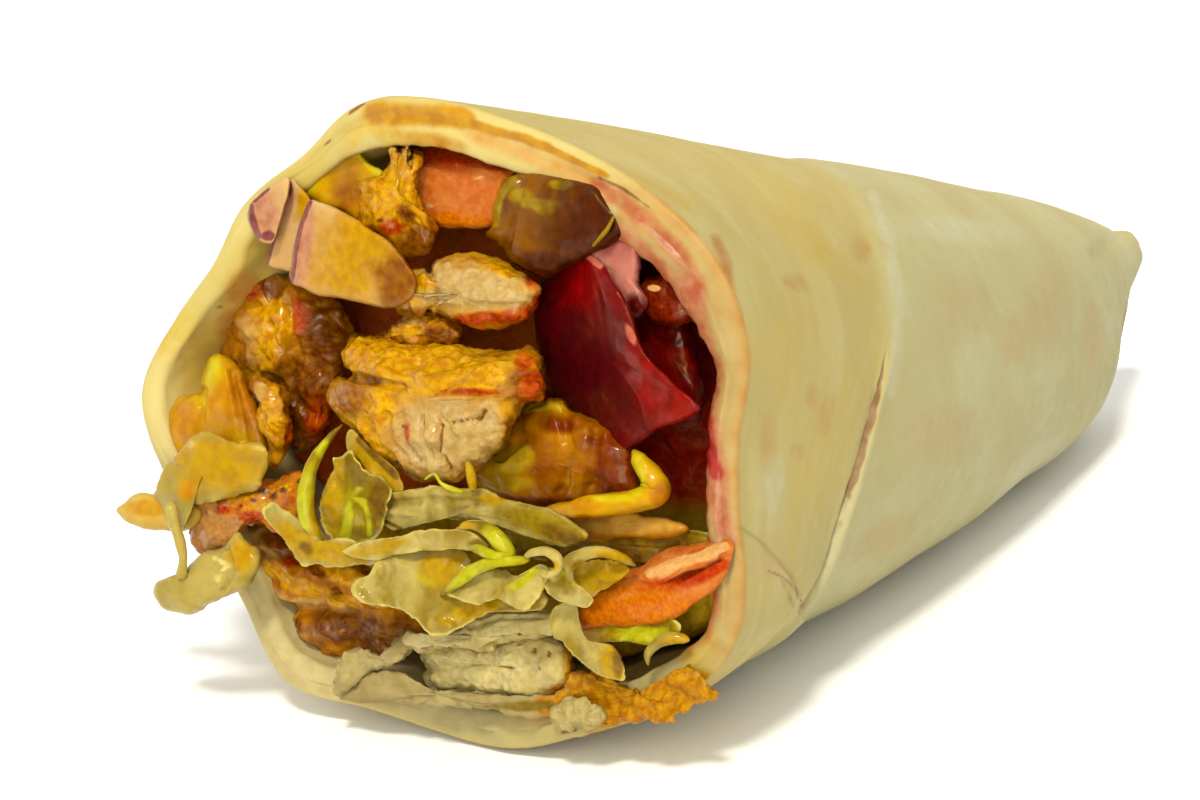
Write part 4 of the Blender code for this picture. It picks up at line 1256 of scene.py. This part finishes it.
def make_onion():
    onion = food("onion", (214, 168, 130), (230, 196, 166), size=4, rough=0.34, masks=(
        ("yellow", (194, 138, 0), (212, 162, 4), 0.5, 0.3),
        ("blush", (190, 122, 116), (212, 154, 140), 0.5, 0.3),
        ("purple", (124, 52, 76), (156, 88, 108), 0.25, 0.3),
        ("dark", (136, 70, 2), (168, 104, 4), 0.5, 0.35),
    ), grain=0.5, grain_depth=0.03, lump=3, lump_depth=0.1, soften=0.4, reach=1.6, stretch=(1, 1, 4),
        wet=0.3)
    # The dark mark on onion_front's right end is painted shade.
    slab("onion_front", onion, "onion", depth=-4, half=6, boxy=14, crag=0.15, seed=41, around=170, rows=26,
        ragged=0.12,
        outline="291,281 293,262 297,240 302,222 308,205 314,201 330,207 345,215 357,222 370,232 385,240 "
            "397,252 408,266 416,280 412,296 400,305 385,307 365,302 345,298 320,294 305,287",
        paint="yellow 356,256,46,56,20; blush 304,245,9,44,8; purple 310,202>302,222>296,250>291,282*2.4; "
            "dark 402,276,20,40,14")
    slab("onion_slice_outer", onion, "onion", depth=-2, half=2.6, boxy=9, crag=0.15, seed=42, around=120,
        ragged=0.1,
        outline="249,212 252,202 262,193 272,186 284,179 289,181 287,195 282,210 278,226 273,242 262,241 "
            "254,230 250,220",
        paint="blush 262,215,16,26; purple 268,189>254,201*1.8 250,206>251,218>258,236*3.4 268,236,8,5")
    slab("onion_slice_inner", onion, "onion", depth=0, half=3, boxy=9, crag=0.15, seed=43, around=120,
        ragged=0.1,
        outline="267,263 271,246 276,224 281,206 287,190 292,180 300,188 310,202 304,222 299,245 295,268 "
            "281,268",
        paint="yellow 304,205,8,22; blush 288,200,7,18; purple 277,224>272,244>267,263*2.2 290,188,3,8")


def make_pepper():
    pepper = food("pickled_pepper", (202, 146, 0), (230, 180, 0), size=5, rough=0.26, masks=(
        ("bright", (214, 192, 8), (228, 210, 40), 0.5, 0.2),
        ("orange", (204, 134, 4), (222, 160, 14), 0.45, 0.26),
        # The dark colour is painted shade in hollows, grooves, ends and along lower edges
        ("dark", (172, 100, 2), (196, 124, 6), 0.5, 0.3),
        ("tan", (204, 146, 60), (220, 170, 84), 0.4, 0.3),
    ), grain=0.6, grain_depth=0.03, lump=3.5, lump_depth=0.15, soften=0.4, reach=1.8, wet=0.5)
    slab("pepper_top", pepper, "pickled_pepper", depth=2, half=6, boxy=9, crag=0.2, seed=44, around=140,
        ragged=0.2,
        outline="303,191 311,177 319,163 327,152 337,147 350,150 358,147 363,157 371,165 382,172 380,182 "
            "368,184 366,198 361,212 356,220 345,212 330,207 316,202",
        paint="bright 322,158>336,150>360,152>378,172*5 310,188,8,6; orange 356,208,8,10; dark "
            "346,192,16,18",
        carve="345,185,16,20@0.6")
    slab("pepper_left", pepper, "pickled_pepper", depth=-1, half=4.5, boxy=3, crag=0.45, crag_size=7,
        seed=55, around=170, rows=26,
        outline="174,404 182,397 200,394 204,372 213,356 224,358 236,368 246,388 256,408 264,425 268,448 "
            "264,470 244,486 215,492 190,488 178,480 160,470 155,460 157,445 161,425 167,411",
        paint="orange 185,430,24,36 224,410,16,30 190,482,16,12; bright 214,376,8,20 196,402,10,6; dark "
            "244,404,12,40,-16 160,460,8,12 266,455,8,20",
        carve="232,372>238,400>244,440*3.5@0.7 204,390>200,430*4@0.5")
    strip("pepper_sprig", pepper, thick=4, seed=53, crag=0.3, crag_size=5,
        spine="540,516,-2,4 555,513,-2.5,8 580,508,-3,11 610,504,-3,11 636,500,-2.5,12 655,491,-1.5,15 "
            "651,477,-1,13 641,464,-1,9 633,450,0,5",
        paint="orange 584,505,16,7; bright 636,475,8,26 610,498,26,4; dark 662,494,12,14 600,518,40,4; tan "
            "556,514,16,8")
    slab("cabbage_strip", pepper, "pickled_pepper", depth=-1, half=2.4, boxy=3.6, crag=0.3, seed=54,
        ripple=0.6, ripple_size=4, around=150, rows=15,
        outline="548,528 562,519 590,516 620,512 640,514 664,518 688,528 676,536 650,538 620,537 600,541 "
            "575,540 556,536",
        paint="dark 660,528,40,14 600,536,50,5; tan 620,524,70,10")


def make_pickle():
    pickle = food("pickle", (106, 56, 0), (142, 84, 0), size=4.5, rough=0.3, masks=(
        ("bright", (150, 118, 8), (176, 144, 26), 0.4, 0.22),
        ("dark", (62, 12, 2), (88, 28, 2), 0.5, 0.35),
    ), grain=0.5, grain_depth=0.03, lump=3, lump_depth=0.15, soften=0.25, reach=1.4, wet=0.4)
    # On pickle_slice the bright line along the upper-left edge and the bright spots are painted highlights.
    slab("pickle_slice", pickle, "pickle", depth=-1, half=7, boxy=7, crag=0.25, crag_size=6, seed=46,
        around=170, rows=27, ragged=0.15,
        outline="487,234 493,225 494,206 500,190 508,179 518,174 530,173 550,175 575,180 596,188 608,202 "
            "622,218 624,234 612,244 595,252 580,260 565,268 546,276 530,270 516,262 506,250 497,241",
        paint="bright 494,222>498,198>512,180*5 560,184,12,5 520,196,12,8 540,204,20,5; dark "
            "594,232,46,56,-20 550,264,34,14",
        carve="522,180>512,215>506,245*4@0.5 560,186>552,230*6@0.4")
    strip("pickle_ring", pickle, thick=1.2, crag=0.05, seed=47, rows=50,
        spine="592,247,-1,1.6 600,238,-2,2.2 608,228,-2,2.2 614,216,-1,1.4",
        paint="bright 608,230,60,60")


def make_beet():
    beet = food("beet", (98, 0, 12), (128, 0, 22), size=5, rough=0.28, masks=(
        ("dark", (78, 2, 14), (98, 4, 24), 0.45, 0.34),
        ("red", (124, 0, 6), (156, 4, 14), 0.45, 0.24),
        ("sheen", (190, 84, 88), (216, 128, 124), 0.35, 0.12),
    ), grain=0.5, grain_depth=0.02, lump=4, lump_depth=0.1, soften=0.2, reach=1, wet=0.4)
    slab("beet_wedge", beet, "beet", depth=-3, half=7, boxy=12, creases=((590, 250, 652, 440, 0.13),
        (612, 292, 540, 312, 0.06)), crag=0.25, crag_size=8, seed=48, around=180, rows=30, ragged=0.1,
        outline="535,302 542,286 555,274 570,261 583,251 590,254 602,264 614,282 626,302 634,322 642,346 "
            "656,366 676,386 694,400 698,410 680,420 660,427 642,441 626,449 614,445 602,430 592,421 "
            "575,418 564,405 550,376 540,350 536,325",
        paint="dark 590,366,50,66,-18; red 578,280,30,24,-30 660,386,26,50,-32; sheen 584,252>600,266*3 "
            "630,334,4,11,-24")


def make_turnip():
    turnip = food("turnip", (180, 92, 106), (218, 140, 150), size=5, rough=0.22, masks=(
        ("white", (214, 156, 138), (232, 190, 176), 0.35, 0.1),
        ("dark", (88, 0, 0), (118, 0, 2), 0.5, 0.34),
        ("brown", (118, 34, 6), (150, 62, 14), 0.4, 0.2),
    ), grain=0.8, grain_depth=0.03, lump=3, lump_depth=0.2, soften=0.35, reach=1.6, wet=0.6)
    slab("turnip_back", turnip, "turnip", depth=5, half=5.5, boxy=3.4, crag=0.5, crag_size=5, seed=49,
        around=130, rows=20,
        outline="618,296 636,286 658,300 680,316 692,340 696,372 702,400 694,424 672,418 654,390 640,360 "
            "628,326",
        paint="dark 662,360,60,90")
    # The white marks on turnip_slice are painted highlights.
    slab("turnip_slice", turnip, "turnip", depth=0, half=3.6, boxy=3.4, crag=0.35, crag_size=3.5, seed=51,
        around=130, rows=21,
        outline="584,254 590,247 604,243 620,234 634,240 640,262 638,284 646,300 640,316 626,314 614,296 "
            "602,274 592,262",
        paint="white 604,272,5,11,-24 588,252,5,2; dark 636,306,12,12")


def make_tomato():
    # The palest colour paints highlights: small glints, and a highlight along the slice's upper ridge.
    tomato = food("tomato", (208, 104, 42), (226, 138, 78), size=1.6, rough=0.32, masks=(
        ("skin", (178, 34, 0), (206, 64, 4), 0.5, 0.22),
        ("orange", (212, 98, 0), (230, 136, 6), 0.5, 0.24),
        ("dark", (110, 20, 2), (140, 38, 4), 0.5, 0.24),
        ("juice", (232, 168, 116), (240, 190, 146), 0.2, 0.12),
    ), grain=0.5, grain_depth=0.08, lump=1.2, lump_depth=0.14, soften=0.35, reach=1.4, wet=0.4)
    slab("tomato_top", tomato, "tomato", depth=2, half=6, boxy=9, crag=0.25, crag_size=2.6, seed=45,
        around=160, rows=26, ragged=0.15, creases=((500, 170, 408, 168, 0.14),),
        outline="411,150 424,145 450,144 470,150 486,158 506,168 518,175 512,184 502,196 498,212 492,224 "
            "470,227 450,225 430,221 416,216 410,200 410,180 416,165",
        paint="skin 446,155,46,12,4 494,168,20,5,26; orange 455,219,46,7,3 500,186,8,14; juice 430,206,5,2 "
            "481,178,2.4,2 458,164,3,1.6 445,188,3,2")
    slab("tomato_side", tomato, "tomato", depth=1.6, half=4, boxy=2.8, crag=0.7, crag_size=3.4, seed=50,
        around=110, rows=18,
        outline="642,292 648,280 664,272 682,276 694,292 692,314 678,326 660,326 647,312",
        paint="dark 668,300,60,60; juice 654,288,5,3")
    # On tomato_slice the dark line along the carved groove is painted shade.
    slab("tomato_slice", tomato, "tomato", depth=-3, half=4.6, boxy=7, crag=0.25, crag_size=4, seed=60,
        around=190, rows=27, ragged=0.15, creases=((735, 556, 620, 588, 0.1),),
        outline="573,624 577,612 582,600 588,585 600,572 614,568 630,570 642,566 656,554 670,549 690,545 "
            "710,541 729,537 734,544 730,560 724,576 712,592 696,602 680,613 660,621 640,625 615,628 "
            "595,629 580,629",
        paint="skin 636,590>676,586>706,574>722,564*7; orange 630,610,74,20,-6 604,586,24,22; dark "
            "660,584>690,574>716,558*3.4; juice 650,574>690,560>724,546*5",
        carve="640,586>676,580>716,559*4@1")


def make_carrot():
    carrot = food("carrot", (212, 168, 66), (226, 192, 104), size=4, rough=0.4, masks=(
        ("orange", (206, 146, 26), (218, 166, 46), 0.45, 0.35),
    ), grain=0.5, grain_depth=0.03, soften=0.4, reach=2, wet=0.3)
    slab("carrot_tip", carrot, "carrot", depth=-5, half=2.4, boxy=2.8, crag=0.2, seed=59, around=100,
        ragged=0.1,
        outline="118,510 126,503 133,496 143,493 155,495 168,496 196,506 200,518 186,530 168,530 150,528 "
            "135,524 125,519",
        paint="orange 148,508,20,8")


def leaf_material(name, dark, light, soften=0.4):
    return food(name, dark, light, size=3.6, rough=0.4, masks=(
        # The edge colour is a painted highlight along the leaves' lit rims
        ("edge", (206, 190, 104), (224, 210, 148), 0.5, 0.3),
        ("bright", (182, 178, 2), (206, 204, 44), 0.4, 0.28),
        ("olive", (142, 118, 4), (170, 144, 14), 0.45, 0.34),
        ("yellow", (184, 142, 0), (200, 164, 22), 0.45, 0.3),
        ("shade", (112, 78, 8), (142, 106, 22), 0.45, 0.4),
    ), grain=0.7, grain_depth=0.06, lump=1.7, lump_depth=0.34, soften=soften, reach=1.8,
        stretch=(1, 1, 1.6), wet=0.45)


def leaf(name, material, slot, outline, depth, **more):
    """A thin wavy slab with a ragged outline."""
    settings = dict(half=0.45, boxy=6.0, crag=0.22, crag_size=3.2, ripple=1.0, ripple_size=3.2)
    settings.update(dict(ragged=0.42, around=200, rows=18, taper=0.0, grow=0.6))
    settings.update(more)
    slab(name, material, slot, outline, depth, **settings)


def make_lettuce():
    pale = leaf_material("lettuce_pale", (152, 126, 30), (210, 194, 138))
    bright = leaf_material("lettuce_bright", (126, 100, 0), (178, 154, 8))
    cabbage = food("cabbage", (154, 78, 0), (198, 130, 0), size=5, rough=0.3, masks=(
        ("bright", (198, 154, 10), (214, 180, 44), 0.45, 0.22),
        ("shade", (110, 24, 2), (142, 54, 2), 0.5, 0.34),
    ), grain=0.9, grain_depth=0.05, lump=3, lump_depth=0.35, soften=0.3, reach=1.6, wet=0.4)
    leaf("lettuce_big", pale, "lettuce_pale", depth=-9.5, half=1.2, tilt=(0.1, 0.3), seed=2, rows=26,
        around=210,
        outline="352,588 358,580 372,573 378,562 376,553 395,550 415,548 440,548 460,549 470,556 474,566 "
            "490,572 520,580 540,590 548,600 540,610 515,612 495,612 480,617 468,624 450,634 435,637 "
            "425,631 415,621 405,613 395,609 380,605 365,603 355,596",
        paint="yellow 440,570,22,18 470,612,30,8,-20; olive 462,556,12,10 500,606,40,6; bright "
            "428,578,12,10")
    leaf("lettuce_mid", pale, "lettuce_pale", depth=-10.5, half=0.7, tilt=(0, 0.4), seed=3,
        outline="446,592 455,584 470,577 490,571 505,571 515,576 530,569 539,564 547,572 544,586 536,597 "
            "526,608 515,607 505,601 490,599 478,604 465,601 455,597",
        paint="bright 518,586>534,570*5")
    strip("lettuce_mid_edge", bright, thick=1.2, curl=0.3, seed=31, ruffle=0.3,
        node="lettuce_mid",
        spine="440,596,-10,2 455,584,-11,5 472,571,-11.5,7 492,563,-11.5,6 512,561,-11,5 530,560,-10,3",
        paint="bright 480,572,60,20")
    strip("lettuce_blade", bright, thick=1.2, curl=0.5, seed=4, crag=0.12, ruffle=0.2,
        spine="343,424,-5,1.5 327,441,-6,4 312,466,-7.5,6.5 305,498,-8.5,9 308,520,-8.5,8.5 318,538,-8,6 "
            "330,549,-7,3",
        paint="bright 306,512,12,44 322,448,8,10; yellow 314,520,5,26")
    leaf("lettuce_green", bright, "lettuce", depth=-6, ripple=1.1, seed=5, half=1,
        outline="321,502 325,490 330,480 334,470 333,458 342,457 350,450 357,460 370,474 382,480 392,494 "
            "386,512 380,532 370,540 350,543 335,542 327,533 321,520",
        paint="bright 346,534>349,508>358,492*5 361,496>368,514>369,534*2.6; yellow 332,500,9,30 "
            "340,470,6,12; shade 378,500,10,24")
    leaf("lettuce_sliver", pale, "lettuce_pale", depth=-5, seed=6, around=130, ripple=0.5,
        outline="349,430 357,434 366,444 380,457 396,470 404,489 390,490 378,481 365,466 352,453 347,441",
        paint="yellow 380,468,40,12,44; shade 360,440>396,476*4")
    leaf("lettuce_yellow", pale, "lettuce_pale", depth=-9, seed=7, half=0.9, ripple=0.9, around=190,
        outline="263,511 272,502 282,508 298,520 312,533 325,543 345,539 360,543 374,550 378,562 350,566 "
            "330,567 315,563 305,567 297,559 289,546 284,538 270,526",
        paint="yellow 330,552,46,12,6 290,534,22,9,44; shade 306,548,8,5,40")
    leaf("lettuce_ribbon", pale, "lettuce_pale", depth=-10, seed=8, ripple=0.5, around=180, rows=15,
        outline="345,552 360,543 374,540 400,537 420,533 450,530 466,531 478,537 488,547 470,549 455,549 "
            "430,550 410,552 385,558 368,560",
        paint="yellow 380,548,30,6,-14; olive 478,544,10,5")
    strip("lettuce_curl", bright, thick=1.1, curl=0.4, seed=9, ruffle=0.3,
        spine="456,529,-10,2.5 470,525,-10.5,5 486,529,-11,7 499,541,-11,9 509,554,-10.5,7 497,556,-11.5,5 "
            "482,551,-11.5,5.5 468,546,-11,3",
        paint="bright 500,545,26,20; yellow 466,527,12,5")
    strip("lettuce_fold", pale, thick=1.2, curl=0.5, seed=10, ruffle=0.4,
        spine="522,560,-10,2 532,553,-11,4 546,551,-11,5 557,558,-11,5.5 558,568,-11,4.5 548,575,-11,4 "
            "540,570,-10,2.5",
        paint="bright 536,566,12,6; yellow 552,566,8,5")
    leaf("lettuce_fold_sheet", pale, "lettuce_pale", depth=-9, seed=32, node="lettuce_fold", around=130,
        outline="540,573 550,568 562,571 570,582 582,588 590,598 586,607 572,606 557,599 546,587",
        paint="olive 566,586,12,8,30; bright 560,572>568,588*3")
    strip("lettuce_frill", pale, thick=1.1, curl=0.5, seed=11, ruffle=0.5,
        spine="636,566,-4,2.5 620,557,-6,5 600,552,-7,6 582,555,-7.5,7 568,564,-8,7 568,580,-8,6 "
            "582,594,-8,4",
        paint="yellow 615,556,22,8; olive 580,566,9,6")
    leaf("lettuce_frill_back", pale, "lettuce_pale", depth=-5, seed=33, node="lettuce_frill", around=120,
        outline="566,570 580,562 600,560 620,562 630,570 615,582 600,592 588,600 576,592 570,582",
        paint="yellow 604,574,40,20")
    leaf("lettuce_tip", pale, "lettuce_pale", depth=-6, seed=12, half=1.2,
        outline="551,613 556,604 565,599 576,605 580,622 586,638 600,642 614,648 622,660 625,678 608,678 "
            "590,669 578,659 571,648 564,641 555,638 552,628",
        paint="yellow 612,662,12,20; shade 618,655,6,20")
    leaf("lettuce_under_tomato", bright, "lettuce", depth=-2, seed=13,
        outline="572,634 588,627 612,622 640,616 664,618 680,626 676,636 655,644 630,641 610,641 590,640",
        paint="yellow 590,634,26,8; bright 640,634,30,8")
    strip("lettuce_spike", pale, thick=1.1, curl=0.4, seed=14, rows=60,
        spine="648,666,-3,1.5 648,654,-3.5,4.5 657,644,-3.5,5.5 672,638,-3,7 690,640,-2,4",
        paint="yellow 680,640,16,8")
    slab("lettuce_rib", pale, "lettuce_pale", depth=-6, half=1.8, boxy=3.4, crag=0.25, crag_size=2.6,
        ripple=0.5, seed=15, around=200, rows=23, ragged=0.35,
        outline="375,508 378,500 388,494 405,491 425,489 440,488 455,490 480,490 502,498 524,504 550,509 "
            "570,522 586,536 568,546 545,542 528,533 500,524 475,520 450,518 432,516 424,521 410,526 "
            "400,530 389,527 380,519",
        paint="olive 545,526,50,14,20; yellow 490,500,16,6; shade 380,520>400,529*2 560,534,24,8,20",
        carve="388,504>430,500>480,504*4@0.4 388,512>410,514*2.6@-0.3")
    leaf("lettuce_rib_sheet", bright, "lettuce_pale", depth=0, half=1.6, seed=34, node="lettuce_rib",
        ripple=1.6, around=180,
        outline="486,522 520,512 560,516 600,526 640,536 690,530 716,536 712,550 680,556 650,562 610,560 "
            "570,556 540,560 510,552 495,538",
        paint="shade 650,548,70,16 560,552,60,8; olive 560,530,60,20")
    strip("lettuce_shoot", bright, thick=0.8, seed=35, rows=40, around=14, crag=0.05,
        node="lettuce_rib",
        spine="424,480,-8,1 434,474,-9,1.8 441,483,-9,2 452,489,-8.5,3 466,492,-7.5,1.5",
        paint="bright 440,484,60,40")
    strip("cabbage_shoot", pale, thick=1.6, seed=36, rows=40, around=18, crag=0.08,
        node="cabbage_mid",
        spine="467,461,-7,2 470,470,-7.5,4.5 472,481,-7.5,5 473,492,-7,2.5",
        paint="yellow 472,480,30,30")
    slab("cabbage_mid", cabbage, "lettuce_pale", depth=0, half=6.5, boxy=3.2, crag=0.7, crag_size=7,
        seed=52, around=190, rows=30,
        outline="500,446 506,424 516,408 540,403 562,399 574,411 596,419 616,433 636,452 640,474 640,494 "
            "618,500 590,503 560,506 530,506 505,500 488,494 474,484 464,472 482,460",
        paint="bright 508,462,26,14,-20 545,406,22,5,-10 500,484,30,8; shade 616,470,30,34 560,424,18,10 "
            "530,502,40,5 600,440,16,8",
        carve="516,412>520,440>500,456*5@0.8 560,408>570,450>560,494*5@0.8 596,428>590,490*6@0.8")


def make_clear_onion():
    # The bright colour paints highlights on the wet onion_strip_left and onion_blob.
    clear = food("onion_clear", (174, 152, 74), (196, 178, 116), size=6, rough=0.2, masks=(
        ("bright", (222, 208, 140), (236, 226, 180), 0.35, 0.08),
        ("yellow", (186, 140, 2), (206, 164, 8), 0.5, 0.22),
        ("orange", (208, 138, 4), (222, 164, 24), 0.4, 0.25),
    ), grain=0.8, grain_depth=0.03, lump=3.5, lump_depth=0.25, soften=0.5, reach=2.4, wet=0.3)
    leaf("onion_strip_left", clear, "lettuce_pale", depth=-6.5, half=1.6, boxy=2.8, seed=56, around=180,
        rows=23, ripple=0.6,
        outline="264,445 240,443 222,437 206,432 192,438 185,448 176,458 165,465 159,478 155,496 164,510 "
            "170,526 186,526 191,506 205,503 232,496 256,488 266,470",
        paint="yellow 222,465,46,30; bright 190,444,6,4 236,446>264,449*2.4; orange 188,490,9,10")
    strip("onion_strand", clear, thick=1.6, seed=57, rows=60, crag=0.1,
        spine="170,500,-8,6 174,522,-8.5,6 180,542,-8.5,5.5 183,560,-8.5,4.5 181,580,-8,7")
    slab("onion_blob", clear, "lettuce_pale", depth=-8, half=3, boxy=2.8, crag=0.4, crag_size=4, seed=58,
        around=150, rows=24, ragged=0.1,
        outline="156,586 162,579 180,573 190,565 203,556 222,547 236,533 246,544 258,558 254,576 241,589 "
            "227,596 212,603 200,610 186,613 172,610 162,601 156,593",
        paint="bright 214,558>228,566*2.2 222,570>236,558*1.6 217,578,3,5 234,548,5,2,-40; yellow "
            "240,556,14,16",
        carve="226,548>232,570>222,592*3@0.5")


def make_folds():
    torn = food("torn_bread", (166, 146, 112), (188, 172, 146), size=3, rough=0.6, masks=(
        ("sauce", (176, 104, 0), (214, 156, 10), 0.4, 0.3),
        ("shade", (122, 98, 40), (146, 120, 58), 0.4, 0.6),
        ("white", (178, 160, 120), (200, 184, 150), 0.4, 0.6),
    ), grain=0.6, grain_depth=0.1, lump=2, lump_depth=0.25, soften=0.3)
    slab("bread_fold_left", torn, "bread", depth=-3.6, half=1.8, boxy=3.8, crag=0.5, crag_size=1.8,
        ragged=1, ripple=0.9, ripple_size=4, seed=71, around=160, rows=20,
        outline="336,668 342,657 360,648 375,655 386,652 400,640 410,632 417,637 413,648 402,658 386,664 "
            "376,670 362,680 348,692 336,690",
        paint="white 346,668,16,14")
    slab("bread_fold_sheet", torn, "bread", depth=-3, half=1.4, boxy=3.6, crag=0.4, crag_size=2,
        ragged=0.8, ripple=0.8, ripple_size=4, seed=73, around=200, rows=17, node="bread_fold_left",
        outline="340,686 356,676 376,671 396,671 410,678 420,688 450,692 500,695 545,696 560,700 552,714 "
            "520,716 480,708 440,704 400,703 360,702 340,698",
        paint="sauce 548,706,16,10; shade 530,706,40,5")
    slab("bread_fold_right", torn, "bread", depth=-2, half=2, boxy=3.6, crag=0.6, crag_size=2, ragged=0.9,
        ripple=1, ripple_size=4, seed=72, around=210, rows=21,
        outline="556,702 561,686 568,675 580,671 590,676 596,671 606,686 614,697 625,694 635,689 650,697 "
            "662,701 672,690 682,672 690,664 700,678 710,688 714,696 700,703 682,715 666,722 645,720 "
            "600,722 575,714",
        paint="sauce 640,700,100,60")
    slab("torn_crumb", torn, "bread", depth=-4, half=1.6, boxy=2.8, crag=0.6, crag_size=1.6, ragged=0.8,
        seed=74, around=110, rows=18, node="bread_fold_right",
        outline="556,710 562,702 575,699 590,702 598,711 601,720 592,725 575,727 560,726 555,718",
        paint="white 578,713,40,30")


make_camera()
make_studio()
make_bread()
make_core()
make_lettuce()
make_clear_onion()
make_onion()
make_pepper()
make_pickle()
make_beet()
make_turnip()
make_tomato()
make_carrot()
make_cut_chicken()
make_pale_chicken()
make_brown_chicken()
make_folds()
